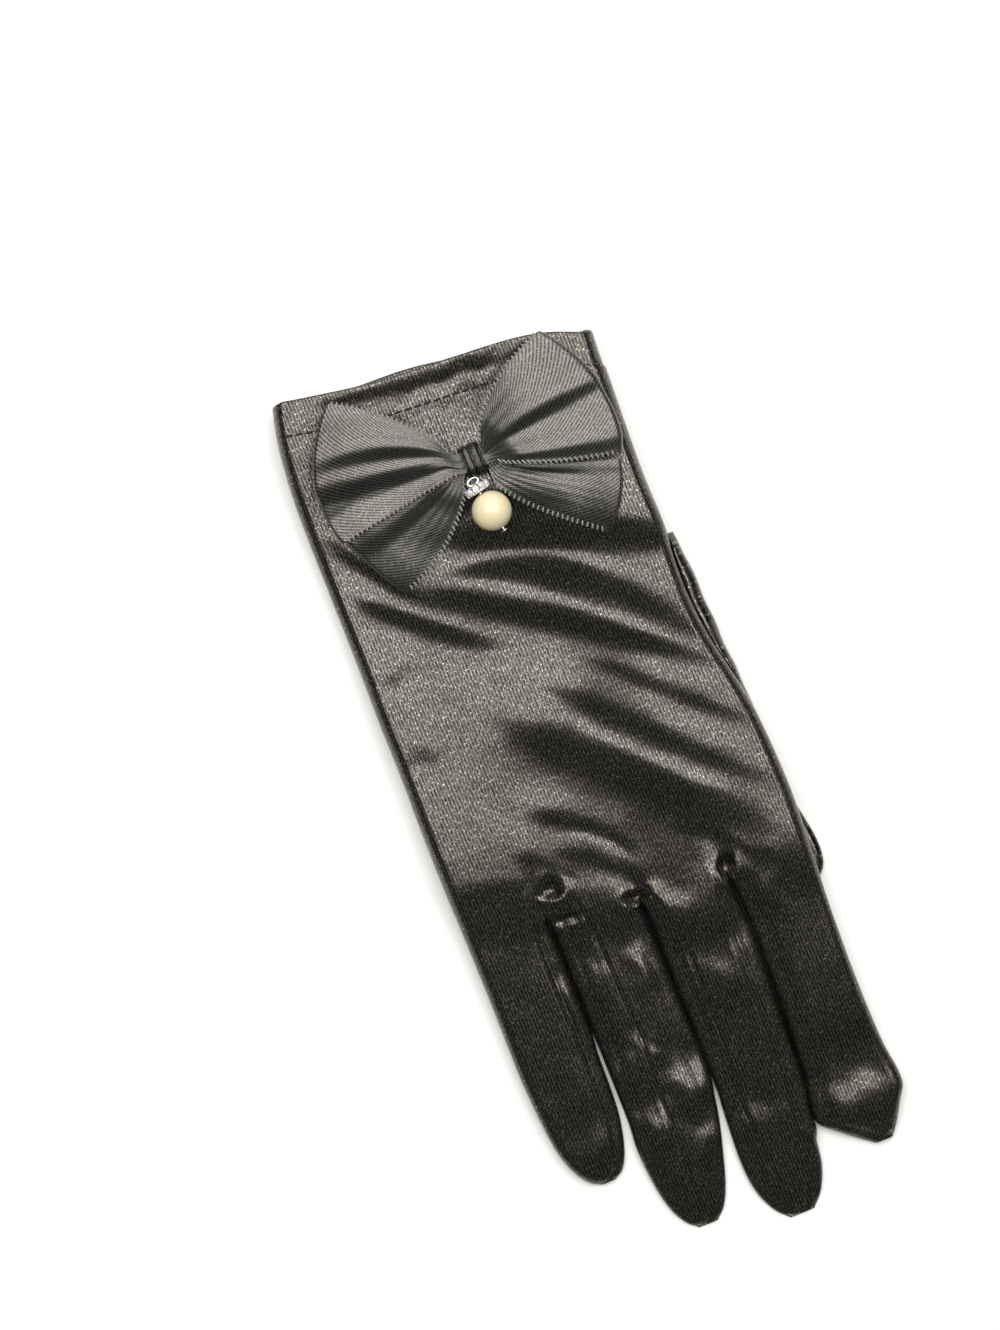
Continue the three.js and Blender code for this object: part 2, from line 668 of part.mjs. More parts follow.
function buildThumb() {
  const flat = flatSection(tubeEdge.thumb, 2, 2, 2);
  const side = flatSection(tubeEdge.thumbSide, 2, 1, 1);
  const outer = thumbBody(thumbRows, thumbHeight, { inset: 0, places: flat, steps: 11 })
    .add(thumbBody(thumbSideRows, thumbSideHeight, { inset: 0, places: side, steps: 8 }))
    .subtract(palmGrown);
  const inner = thumbBody(thumbRows, thumbHeight, { inset: wall, places: flat, steps: 8 });
  return outer.subtract(inner).subtract(thumbOpening);
}

// A sheet of even thickness over a grid of places, as a closed mesh
function sheetBody(grid, lower) {
  const rows = grid.length;
  const columns = grid[0].length;
  const positions = [];
  const triangles = [];
  [grid, lower].forEach((layer) => {
    layer.forEach((row) => row.forEach((p) => positions.push(p.x, p.y, p.z)));
  });
  const index = (layer, r, c) => layer * rows * columns + r * columns + c;
  const quad = (a, b, c, d) => triangles.push(a, b, c, a, c, d);
  for (let r = 0; r < rows - 1; r += 1) {
    for (let c = 0; c < columns - 1; c += 1) {
      quad(index(0, r, c), index(0, r + 1, c), index(0, r + 1, c + 1), index(0, r, c + 1));
      quad(index(1, r, c), index(1, r, c + 1), index(1, r + 1, c + 1), index(1, r + 1, c));
    }
  }
  for (let r = 0; r < rows - 1; r += 1) {
    const last = columns - 1;
    quad(index(0, r, 0), index(1, r, 0), index(1, r + 1, 0), index(0, r + 1, 0));
    quad(index(0, r, last), index(0, r + 1, last), index(1, r + 1, last), index(1, r, last));
  }
  for (let c = 0; c < columns - 1; c += 1) {
    const last = rows - 1;
    quad(index(0, 0, c), index(0, 0, c + 1), index(1, 0, c + 1), index(1, 0, c));
    quad(index(0, last, c), index(1, last, c), index(1, last, c + 1), index(0, last, c + 1));
  }
  return makeSolid(positions, triangles);
}

// Heights of the bow at the knot, from the glove up
const bowSeat = smoothTopAt(knotPlace.x, knotPlace.y) + gap;
const loopPinch = 2 * ribbon + pinchOpen;
const loopFull = 2 * ribbon + loopOpen;
const knotFloor = { bow_lower_ribbon: bowSeat + knotBand + gap };
knotFloor.bow_upper_ribbon = knotFloor.bow_lower_ribbon + loopPinch + gap;
const knotTop = knotFloor.bow_upper_ribbon + loopPinch + gap + knotBand;
const loopFloor = { bow_lower_ribbon: loopRest };
loopFloor.bow_upper_ribbon = loopRest + loopFull + loopClimb;

// One loop of the bow: two layers of ribbon that meet in the outer fold
function bowLoopBody(loop) {
  const lower = curveThrough(loop.lower, fromKnot);
  const upper = curveThrough(loop.upper, fromKnot);
  const stations = [0, loopRun.neck, loopRun.deep, 0.45, 0.72, 1];
  const foldTurns = 3;
  const acrossSteps = loop.pleats.length > 1 ? 8 : 6;
  const outerRows = [];
  const innerRows = [];
  const place = (s, t, level, depth) => {
    const low = lower.getPoint(s);
    const high = upper.getPoint(s);
    const p = low.lerp(high, t);
    const bulge = loop.bulge * bowReach * Math.sin(Math.PI * t) * s * s;
    const pinch = 1 - smoothstep(s, loopRun.neck, loopRun.open);
    const pinched = knotPlace.y + (t - 0.5) * knotDepth * pinchShare;
    const outward = Math.max(loop.side * (p.x - knotPlace.x) + bulge, knotWidth / 2 + gap);
    const x = knotPlace.x + loop.side * (s === 0 ? knotWidth * 0.3 : outward);
    const y = lerp(p.y, pinched, 1 - smoothstep(s, loopRun.neck, loopRun.deep));
    const floor = lerp(topAt(x, y) + loopFloor[loop.node], knotFloor[loop.node], pinch);
    const fullTop = lerp(loopFull, loopPinch, pinch);
    const crest = loop.pleats.reduce((sum, pleat) => (
      sum + pleat.rise * Math.exp(-(((t - pleat.at) / pleat.wide) ** 2))
    ), 0) * smoothstep(s, loopRun.neck, loopRun.deep) * (1 - loopRun.flatten * s);
    const lift = (crest / 2) * Math.max(0, level); // only the upper layer is pleated
    const half = fullTop / 2 - depth + lift;
    return new THREE.Vector3(x, y, floor + fullTop / 2 + lift + level * half);
  };
  const addRow = (s, level, reach) => {
    const outerRow = [];
    const innerRow = [];
    for (let j = 0; j <= acrossSteps; j += 1) {
      const t = j / acrossSteps;
      const out = place(s, t, level, 0);
      const inn = place(s, t, level, ribbon);
      out.x += loop.side * reach;
      inn.x += loop.side * Math.max(reach - ribbon, 0);
      outerRow.push(out);
      innerRow.push(inn);
    }
    outerRows.push(outerRow);
    innerRows.push(innerRow);
  };
  stations.forEach((s) => addRow(s, 1, 0));
  for (let i = 1; i < foldTurns; i += 1) {
    const angle = Math.PI / 2 - (Math.PI * i) / foldTurns;
    addRow(1, Math.sin(angle), Math.cos(angle) * loopFull * loopRound);
  }
  [...stations].reverse().forEach((s) => addRow(s, -1, 0));
  return sheetBody(outerRows, innerRows);
}

// A box between two corners
function boxBody(low, high) {
  const size = high.map((value, i) => value - low[i]);
  const geometry = new THREE.BoxGeometry(...size);
  geometry.translate(...low.map((value, i) => value + size[i] / 2));
  return solidFromGeometry(geometry);
}

function buildRibbon(node) {
  const [left, right] = bowLoops.filter((loop) => loop.node === node);
  const deep = (knotDepth * pinchShare) / 2;
  const wide = (knotWidth * knotHold) / 2;
  const floor = knotFloor[node];
  const bridge = boxBody(
    [knotPlace.x - wide, knotPlace.y - deep, floor],
    [knotPlace.x + wide, knotPlace.y + deep, floor + loopPinch],
  );
  return bowLoopBody(left).add(bowLoopBody(right)).add(bridge);
}

// The knot: a band round the middle of both ribbons
function buildKnot() {
  const half = knotDepth / 2;
  const outline = (grow) => {
    const y0 = -half + grow;
    const y1 = half - grow;
    const z0 = bowSeat + grow;
    const z1 = knotTop - grow;
    const r = knotRound - grow / 2;
    const path = new THREE.Shape();
    path.moveTo(y0 + r, z0);
    path.lineTo(y1 - r, z0);
    path.absarc(y1 - r, z0 + r, r, -Math.PI / 2, 0);
    path.absarc(y1 - r, z1 - r, r, 0, Math.PI / 2);
    path.absarc(y0 + r, z1 - r, r, Math.PI / 2, Math.PI);
    path.absarc(y0 + r, z0 + r, r, Math.PI, Math.PI * 1.5);
    return path;
  };
  const shape = outline(0);
  shape.holes.push(outline(knotBand));
  const geometry = new THREE.ExtrudeGeometry(shape, {
    depth: knotWidth, bevelEnabled: false, curveSegments: 3,
  });
  geometry.applyMatrix4(new THREE.Matrix4().set(
    0, 0, 1, knotPlace.x - knotWidth / 2,
    1, 0, 0, knotPlace.y,
    0, 1, 0, 0,
    0, 0, 0, 1,
  ));
  return solidFromGeometry(geometry);
}

// Where the drop lies: its own Y axis points to the knot
const beadRadius = beadDiameter / 2;
const dropHeight = Math.max(
  smoothTopAt(dropPlace.x, dropPlace.y) + gap + beadRadius + foldHeight * 0.4,
  bowSeat + spacerDiameter / 2,
);
const spacerMiddle = beadRadius + gap + spacerThickness / 2;

// Turned bodies, about the drop's axis
function turnedBody(profile, sides) {
  const points = profile.map(([radius, height]) => new THREE.Vector2(radius, height));
  const geometry = new THREE.LatheGeometry([...points, points[0].clone()], sides);
  return solidFromGeometry(geometry);
}

function buildBead() {
  const bore = beadBore / 2;
  const start = Math.asin(bore / beadRadius);
  const steps = 10;
  const profile = [];
  for (let i = 0; i <= steps; i += 1) {
    const angle = lerp(start, Math.PI - start, i / steps);
    profile.push([beadRadius * Math.sin(angle), -beadRadius * Math.cos(angle)]);
  }
  return turnedBody(profile, 16);
}

// A cut stone: a table, six facets down to the girdle and six below it
function stoneBody() {
  const sides = 6;
  const radius = stoneSize / 2;
  const levels = [
    { radius: radius * 0.55, z: radius * 0.55 },
    { radius, z: 0 },
    { radius: radius * 0.6, z: -radius * 0.8 },
  ];
  const rings = levels.map((level) => Array.from({ length: sides }, (_, i) => {
    const angle = (2 * Math.PI * (i + 0.5)) / sides;
    return new THREE.Vector3(
      level.radius * Math.cos(angle), level.radius * Math.sin(angle), level.z,
    );
  }));
  return loftRings(rings);
}

function buildSpacer() {
  const bore = beadBore / 2;
  const rim = spacerDiameter / 2 - stoneSize * 0.2;
  const core = spacerDiameter / 2 - stoneSize * 0.55;
  const half = spacerThickness / 2;
  const inner = half - spacerPlate;
  let body = turnedBody([
    [bore, -half], [rim, -half], [rim, -inner], [core, -inner],
    [core, inner], [rim, inner], [rim, half], [bore, half],
  ], 12);
  for (let i = 0; i < stoneCount; i += 1) {
    const angle = (360 * (i + 0.5)) / stoneCount;
    const seat = spacerDiameter / 2 - stoneSize * 0.275;
    body = body.add(stoneBody().rotate([90, 0, 90]).translate([seat, 0, 0]).rotate([0, angle, 0]));
  }
  return body;
}

// The pin: a head under the bead, a shaft through bead and spacer, and a loop at the knot
function wireBody(curve, steps) {
  const section = new THREE.Shape();
  section.absarc(0, 0, pinWire / 2, 0, Math.PI * 2);
  return solidFromGeometry(new THREE.ExtrudeGeometry(section, {
    steps, extrudePath: curve, curveSegments: 3, bevelEnabled: false,
  }));
}

function buildPin() {
  const top = spacerMiddle + spacerThickness / 2;
  const headLow = -beadRadius - gap - pinWire;
  const shaft = turnedBody([
    [0, headLow], [pinHeadDiameter / 2, headLow], [pinHeadDiameter / 2, headLow + pinWire],
    [pinWire / 2, headLow + pinWire], [pinWire / 2, top + pinWire], [0, top + pinWire],
  ], 10);
  const half = pinLoopWidth / 2;
  const knotSide = knotPlace.y - knotDepth / 2 - gap - pinWire / 2;
  const loopEnd = (knotSide - dropPlace.y) / Math.cos(dropLean);
  const loopStart = top + gap;
  const points = [
    [-pinWire * 0.2, loopStart],
    [-half * 0.7, lerp(loopStart, loopEnd, 0.2)],
    [-half, lerp(loopStart, loopEnd, 0.6)],
    [-half * 0.6, loopEnd - pinWire * 0.4],
    [half * 0.6, loopEnd - pinWire * 0.4],
    [half, lerp(loopStart, loopEnd, 0.6)],
    [half * 0.7, lerp(loopStart, loopEnd, 0.2)],
    [pinWire * 0.2, loopStart],
  ].map(([x, y]) => new THREE.Vector3(x, y, 0));
  return shaft.add(wireBody(new THREE.CatmullRomCurve3(points), 20));
}

// Colours, and the meshes
const satin = { color: 0x2b2926, roughness: 0.42, metalness: 0 };
const looks = {
  trank: satin,
  little_finger: satin,
  ring_finger: satin,
  middle_finger: satin,
  index_finger: satin,
  cuff_hem: satin,
  thumb: satin,
  fourchette_little_ring: satin,
  fourchette_ring_middle: satin,
  fourchette_middle_index: satin,
  bow_lower_ribbon: { color: 0x3d3c39, roughness: 0.38, metalness: 0 },
  bow_upper_ribbon: { color: 0x45443f, roughness: 0.38, metalness: 0 },
  bow_knot: { color: 0x1d1c1a, roughness: 0.4, metalness: 0 },
  pearl: { color: 0xeee1b9, roughness: 0.22, metalness: 0 },
  rondelle: { color: 0xdcdcd8, roughness: 0.15, metalness: 0.8 },
  drop_pin: { color: 0xd8d8d4, roughness: 0.2, metalness: 1 },
};

function meshOf(name, body) {
  const { vertProperties, triVerts } = body.getMesh();
  const geometry = new THREE.BufferGeometry();
  geometry.setAttribute('position', new THREE.BufferAttribute(vertProperties, 3));
  geometry.setIndex(new THREE.BufferAttribute(triVerts, 1));
  geometry.computeVertexNormals();
  const mesh = new THREE.Mesh(geometry, new THREE.MeshStandardMaterial(looks[name]));
  mesh.name = name;
  return mesh;
}

const glove = new THREE.Group();
glove.add(meshOf('trank', buildTrank()));
fingers.forEach((finger) => glove.add(meshOf(finger.name, buildFinger(finger))));
strips.forEach((strip) => glove.add(meshOf(strip.name, buildStrip(strip))));
glove.add(meshOf('cuff_hem', buildHem()));
glove.add(meshOf('thumb', buildThumb()));
glove.add(meshOf('bow_lower_ribbon', buildRibbon('bow_lower_ribbon')));
glove.add(meshOf('bow_upper_ribbon', buildRibbon('bow_upper_ribbon')));
glove.add(meshOf('bow_knot', buildKnot()));

const drop = new THREE.Group();
drop.position.set(dropPlace.x, dropPlace.y, dropHeight);
drop.rotation.z = dropLean;
drop.add(meshOf('pearl', buildBead()));
const spacer = meshOf('rondelle', buildSpacer());
spacer.position.y = spacerMiddle;
drop.add(spacer);
drop.add(meshOf('drop_pin', buildPin()));
glove.add(drop);

export default glove;
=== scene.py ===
# A wrist length dress glove of black satin, with a ribbon bow and a bead drop, lying flat.
# Lengths are in millimetres until a mesh is made, and MM turns them into metres.
import math
import bmesh
import bpy
import numpy as np
from mathutils import Matrix, Vector


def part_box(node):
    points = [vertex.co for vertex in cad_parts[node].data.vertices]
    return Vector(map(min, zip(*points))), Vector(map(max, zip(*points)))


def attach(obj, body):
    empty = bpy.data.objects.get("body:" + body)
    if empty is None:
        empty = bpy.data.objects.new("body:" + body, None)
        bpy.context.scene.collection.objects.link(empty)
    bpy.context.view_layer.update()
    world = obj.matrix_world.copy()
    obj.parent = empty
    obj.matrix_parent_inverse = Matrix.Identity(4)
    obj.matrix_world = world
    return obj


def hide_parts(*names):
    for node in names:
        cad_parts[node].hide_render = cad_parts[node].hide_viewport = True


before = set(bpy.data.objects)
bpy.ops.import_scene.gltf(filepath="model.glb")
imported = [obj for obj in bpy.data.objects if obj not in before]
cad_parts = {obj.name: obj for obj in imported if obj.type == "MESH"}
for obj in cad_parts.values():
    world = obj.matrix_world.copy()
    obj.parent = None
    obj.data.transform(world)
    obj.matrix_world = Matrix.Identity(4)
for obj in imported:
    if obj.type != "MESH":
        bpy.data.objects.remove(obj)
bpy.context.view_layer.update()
MM = 0.001

# The photo's frame, seen straight from above: its middle, its up and right, and its height
CENTRE = Vector((-10.64, -5.4, 0)) * MM
IMAGE_UP = Vector((math.sin(math.radians(22.5)), math.cos(math.radians(22.5)), 0))
IMAGE_RIGHT = Vector((IMAGE_UP.y, -IMAGE_UP.x, 0))
FRAME_HEIGHT = 332.5
LENS, SENSOR = 85.0, 36.0

# The glove's driving sizes, the same as the solids' but for the thumb, 0.1 lower here
HALF_WIDTH = 44.0
CUFF_REACH = 70.0
CROTCH_REACH = 72.0
PALM_HEIGHT = 10.4
THUMB_LIFT = 2.3
HEM_DEPTH = 9.3
THUMB_HEIGHT = 3.6
THUMB_SEAT = 4.0
THUMB_REACH = 87.0
INDEX_REACH = 153.2

# The thickness of the cloth, less than that of the solids' walls
CLOTH = 0.7

# The places across at which the two ends of the cuff, of its stitching and of the foot are read
CUFF_LEFT, CUFF_RIGHT = -39.0, 43.0
STITCH_LEFT, STITCH_RIGHT = -40.0, 42.0
FOOT_LEFT, FOOT_RIGHT = -45.0, 44.0

# The cuff edge and the foot of the palm, as shares of the half width and the reaches
CUFF_X = (-0.90, -0.68, -0.30, 0.20, 0.66, 0.98)
CUFF_Y = (1.09, 1.061, 1.02, 0.993, 0.957, 0.881)
FOOT_X = (-1.04, -0.66, -0.54, -0.36, -0.14, 0.0, 0.25, 0.5, 1.02)
FOOT_Y = (-0.9, -0.92, -0.93, -0.93, -0.985, -1.0, -1.03, -1.03, -1.05)

# The fingers sink by FINGER_DROP, go on down by a slope, and their normals lean away from the
# light, so that they are as dark as in the photo. They begin to sink at these shares.
FINGER_DROP = 2.2
FINGER_SLOPE = 0.052
FINGER_LEAN = 0.09
SINK_X = (-1.04, -0.55, -0.27, 0.0, 0.27, 0.52, 1.04)
SINK_Y = (-0.75, -0.80, -0.89, -0.98, -1.10, -1.0, -1.03)
SINK_RUN = 17.0

# The side edges of the palm, from the foot at -1 to the cuff at 1
SIDE_AT = (-1, -0.8, -0.55, -0.4, -0.27, -0.12, 0.05, 0.16, 0.4, 0.65, 0.82, 0.92, 1)
SIDE_LEFT = (-1.03, -1.03, -1.023, -1.015, -1.01, -1.008, -1.0, -0.995, -0.988, -0.977,
             -0.95, -0.92, -0.885)
SIDE_RIGHT = (1.0, 1.018, 1.005, 0.968, 0.925, 0.902, 0.912, 0.927, 0.932, 0.95, 0.964,
              0.97, 0.98)

# Each finger: rows of distance from the middle of the palm, left edge, right edge and the
# share of the full height. Then the seams that show on its top, as rows of y and x.
FINGERS = (
    {   # little finger
        "columns": 35,
        "rows": ((64, -45.3, -24.4, 1), (80, -45.4, -24.3, 1), (97, -45.7, -24.6, 1),
                 (105, -45.8, -25.2, 1), (120, -45.0, -26.0, 0.98), (127, -43.8, -27.3, 0.9),
                 (132, -41.8, -29.0, 0.75), (135.2, -39.4, -31.0, 0.55),
                 (136.5, -37.2, -33.2, 0.4)),
        "left_seam": None,
        "right_seam": ((66, -27.4), (80, -28.2), (110, -28.4), (125, -29.4), (136, -33.5)),
    },
    {   # ring finger
        "columns": 38,
        "rows": ((66, -24.1, -0.8, 1), (80, -24.0, -0.8, 1), (97, -24.3, -1.0, 1),
                 (105, -24.6, -1.0, 1), (118, -24.8, -1.1, 1), (125, -25.0, -1.9, 1),
                 (132, -25.6, -3.2, 0.98), (142, -24.9, -6.0, 0.92),
                 (149, -23.4, -8.4, 0.8), (153.5, -21.1, -10.8, 0.6),
                 (156, -18.5, -13.4, 0.4)),
        "left_seam": ((66, -16.0), (75, -14.6), (90, -14.5), (105, -13.8), (118, -15.0),
                      (130, -15.2), (148, -16.2), (156, -16.5)),
        "right_seam": None,
    },
    {   # middle finger
        "columns": 38,
        "rows": ((71, -0.5, 21.6, 1), (80, -0.5, 21.9, 1), (90, -0.6, 22.4, 1),
                 (100, -0.7, 22.0, 1), (110, -0.7, 21.4, 1), (120, -0.7, 20.8, 1),
                 (133, -1.9, 20.0, 0.98), (145, -2.6, 17.6, 0.94),
                 (153, -1.8, 16.2, 0.82), (159, 0.7, 13.5, 0.62), (162.5, 3.8, 10.3, 0.4)),
        "left_seam": ((71, 1.5), (80, 4.2), (90, 5.4), (105, 5.2), (115, 4.8), (121, 3.8),
                      (130, 3.2), (150, 4.2), (162, 6.0)),
        "right_seam": ((71, 19.4), (85, 17.3), (100, 16.9), (125, 16.4), (145, 13.9),
                       (162, 8.6)),
    },
    {   # index finger
        "columns": 39,
        "rows": ((74, 22.0, 44.0, 1), (80, 22.3, 43.7, 1), (90, 22.8, 42.9, 1),
                 (100, 22.4, 42.4, 1), (110, 21.8, 42.1, 1), (120, 21.2, 42.0, 1),
                 (130, 20.5, 42.2, 0.98), (141, 18.9, 43.0, 0.86),
                 (146, 22.3, 40.2, 0.7), (150, 26.8, 37.9, 0.52), (153.2, 30.8, 35.6, 0.38)),
        "left_seam": None,
        "right_seam": None,
    },
)

# Across the crotches between the fingers, and how far down two fingers stay side by side
CROTCHES = (-24.3, -0.6, 21.8)
PARTINGS = (99.0, 121.0, 141.0)

# Folds of the back: three places on the line, width, and slope towards the cuff. A line
# with a slope above 0 is a bright ridge, one below 0 turns from the light and is a dark band.
FOLDS = (
    ((-40.0, 30.0), (-25.9, 15.6), (-7.0, 1.0), 1.3, 0.17),
    ((-24.0, 22.0), (9.0, 17.2), (33.5, -3.4), 1.7, 0.24),
    ((-22.0, 21.0), (7.0, 5.8), (43.0, -28.0), 1.5, 0.21),
    ((-4.0, -19.5), (14.8, -40.2), (35.5, -60.5), 2.0, 0.20),
    ((-15.0, -50.6), (-3.5, -56.0), (4.0, -70.9), 1.0, 0.20),
    ((18.0, -60.5), (27.0, -66.5), (32.5, -78.0), 0.9, 0.20),
    ((-24.0, 32.6), (15.0, 19.4), (54.0, 1.0), 5.0, -0.48),
    ((-14.0, 40.0), (4.0, 32.6), (24.0, 24.0), 3.8, -0.44),
    ((-24.0, 22.5), (14.0, 8.2), (43.0, -26.0), 4.3, -0.34),
    ((-35.0, 25.0), (5.0, 0.8), (47.0, -32.0), 3.5, -0.46),
    ((-41.0, 26.5), (-26.0, 12.0), (-6.0, -3.6), 3.0, -0.40),
    ((8.0, -9.8), (25.0, -26.4), (45.0, -46.0), 2.4, -0.26),
    ((-6.0, -10.4), (15.5, -32.8), (43.0, -61.0), 3.0, -0.30),
    ((-18.5, -15.5), (6.5, -42.2), (41.0, -73.5), 6.4, -0.42),
    ((-22.0, -41.6), (-6.0, -50.6), (5.0, -64.0), 2.3, -0.32),
    ((-19.0, -53.0), (-5.7, -60.8), (3.5, -74.0), 2.1, -0.30),
    ((-28.0, -49.2), (-18.5, -56.2), (-13.0, -63.5), 1.7, -0.22),
    ((10.0, -58.6), (24.2, -65.4), (32.0, -80.0), 1.8, -0.34),
    ((-40.0, 43.0), (-31.5, 28.0), (-20.0, 15.5), 2.0, -0.34),
    ((-50.0, -54.5), (-36.0, -56.5), (-22.0, -59.6), 2.6, -0.22),
    ((-50.0, 75.4), (0.0, 67.4), (42.0, 63.0), 1.5, -0.26),
)

# Soft swells: centre, radii and slope towards the cuff
SWELLS = (
    ((-35.1, 2.3), (5.0, 4.0), -0.12),
    ((-37.9, -19.3), (5.0, 3.5), -0.11),
    ((20.0, 3.0), (25.0, 26.0), -0.028),
    ((-26.0, -36.0), (18.0, 16.0), 0.035),
    ((34.0, -31.0), (9.0, 8.0), -0.03),
    ((-38.0, 46.0), (13.0, 26.0), -0.13),
    ((-4.0, 67.0), (46.0, 22.0), -0.15),
    ((-19.6, -84.2), (4.4, 6.0), 0.25),
    ((-6.9, -85.5), (2.6, 6.5), 0.20),
    ((10.8, -92.6), (7.0, 9.0), 0.27),
    ((30.0, -80.3), (3.8, 7.0), 0.24),
    ((-26.4, -86.0), (1.8, 5.5), 0.18),
    ((-21.1, -109.2), (3.9, 5.5), 0.26),
    ((-13.5, -107.0), (1.8, 4.5), 0.24),
    ((-5.9, -118.2), (6.0, 7.0), 0.29),
    ((-18.3, -125.0), (5.0, 6.0), 0.30),
    ((-8.0, -133.0), (4.4, 5.0), 0.27),
    ((6.4, -134.0), (5.5, 5.0), 0.22),
    ((-34.6, -125.3), (7.0, 7.0), 0.21),
    ((32.5, -138.0), (11.0, 11.0), 0.42),
    ((8.0, -77.0), (10.0, 8.0), 0.17),
    ((8.0, 64.5), (14.0, 2.4), 0.22),
    ((-30.0, 71.0), (6.0, 3.0), 0.10),
)

# Puckers at the crotches: centre, radii, depth and the rim round them
PUCKERS = (
    ((-20.4, -61.8), (3.0, 3.6), 2.2, 0.5),
    ((-19.6, -70.4), (4.2, 1.9), 1.4, 0.25),
    ((-1.2, -72.2), (3.4, 2.0), 1.9, 0.5),
    ((22.3, -73.2), (2.4, 3.6), 1.8, 0.45),
    ((-25.0, -75.5), (1.3, 5.5), 1.6, 0.1),
)


# How a fold falls off: its step's height and steepness, and the reach of the cloth beside it
STEP_HEIGHT, STEP_STEEPNESS = 0.886, 1.2
FOLD_REACH, FOLD_REACH_BY_WIDTH = 6.0, 2.4

# The groove of a seam on a finger, and the small rise on each side of it
GROOVE_DEPTH, GROOVE_WIDTH = 0.32, 0.55
RISE_HEIGHT, RISE_WIDTH, RISE_OFFSET = 0.14, 0.7, 1.3


# Small tools
def smoothstep(low, high, value):
    share = np.clip((value - low) / (high - low), 0.0, 1.0)
    return share * share * (3.0 - 2.0 * share)


def lerp(a, b, t):
    return a + (b - a) * t


def smooth_table(keys, values, at):
    """Values of a smooth curve through a table whose keys rise."""
    keys = np.asarray(keys, float)
    values = np.asarray(values, float)
    at = np.clip(np.asarray(at, float), keys[0], keys[-1])
    last = len(keys) - 1
    i = np.clip(np.searchsorted(keys, at, side="right") - 1, 0, last - 1)
    before = np.maximum(i - 1, 0)
    after = np.minimum(i + 2, last)
    step = keys[i + 1] - keys[i]
    t = (at - keys[i]) / step
    m0 = (values[i + 1] - values[before]) / (keys[i + 1] - keys[before]) * step
    m1 = (values[after] - values[i]) / (keys[after] - keys[i]) * step
    p0, p1 = values[i], values[i + 1]
    return (p0 + t * m0 + t * t * (3 * (p1 - p0) - 2 * m0 - m1)
            + t ** 3 * (2 * (p0 - p1) + m0 + m1))


def curve_through(a, m, b, count):
    """Points on the quadratic curve from a through m to b."""
    a, m, b = (np.array(p, float) for p in (a, m, b))
    control = 2 * m - (a + b) / 2
    t = np.linspace(0.0, 1.0, count)[:, None]
    return (1 - t) ** 2 * a + 2 * t * (1 - t) * control + t * t * b


# Lines and heights of the hand
def cuff_line(x):
    return smooth_table(CUFF_X, CUFF_Y, x / HALF_WIDTH) * CUFF_REACH


def stitch_line(x):
    return cuff_line(x) - HEM_DEPTH


def foot_line(x):
    return smooth_table(FOOT_X, FOOT_Y, x / HALF_WIDTH) * CROTCH_REACH


def side_edges(y):
    """Left and right edge of the palm at a height y, for each side by its own reach."""
    left_at = np.where(y > 0, y / cuff_line(CUFF_LEFT), y / -foot_line(FOOT_LEFT))
    right_at = np.where(y > 0, y / cuff_line(CUFF_RIGHT), y / -foot_line(FOOT_RIGHT))
    left = smooth_table(SIDE_AT, SIDE_LEFT, left_at) * HALF_WIDTH
    right = smooth_table(SIDE_AT, SIDE_RIGHT, right_at) * HALF_WIDTH
    return left, right


def floor_at(x, y):
    sideways = smoothstep(0.3 * HALF_WIDTH, 0.49 * HALF_WIDTH, x)
    above = 1 - smoothstep(0.16 * CUFF_REACH, 0.34 * CUFF_REACH, y)
    below = smoothstep(-1.38 * THUMB_REACH, -1.03 * THUMB_REACH, y)
    return THUMB_SEAT * sideways * above * below


def below_sink(x, y):
    """How far a place lies beyond the line where the fingers begin to sink."""
    return smooth_table(SINK_X, SINK_Y, x / HALF_WIDTH) * CROTCH_REACH - y


def smooth_top_at(x, y):
    drop = FINGER_DROP * smoothstep(0.0, SINK_RUN, below_sink(x, y))
    drop = drop + FINGER_SLOPE * np.maximum(-y - CROTCH_REACH, 0.0)
    lift = THUMB_LIFT * smoothstep(0.05 * HALF_WIDTH, 0.5 * HALF_WIDTH, x)
    tip = 1 - 0.6 * (1 - smoothstep(-INDEX_REACH, -0.7 * INDEX_REACH, y))
    roundness = 0.5 * (x / HALF_WIDTH) ** 2
    return PALM_HEIGHT - drop + lift * tip - roundness * smoothstep(-44.0, 44.0, -x)


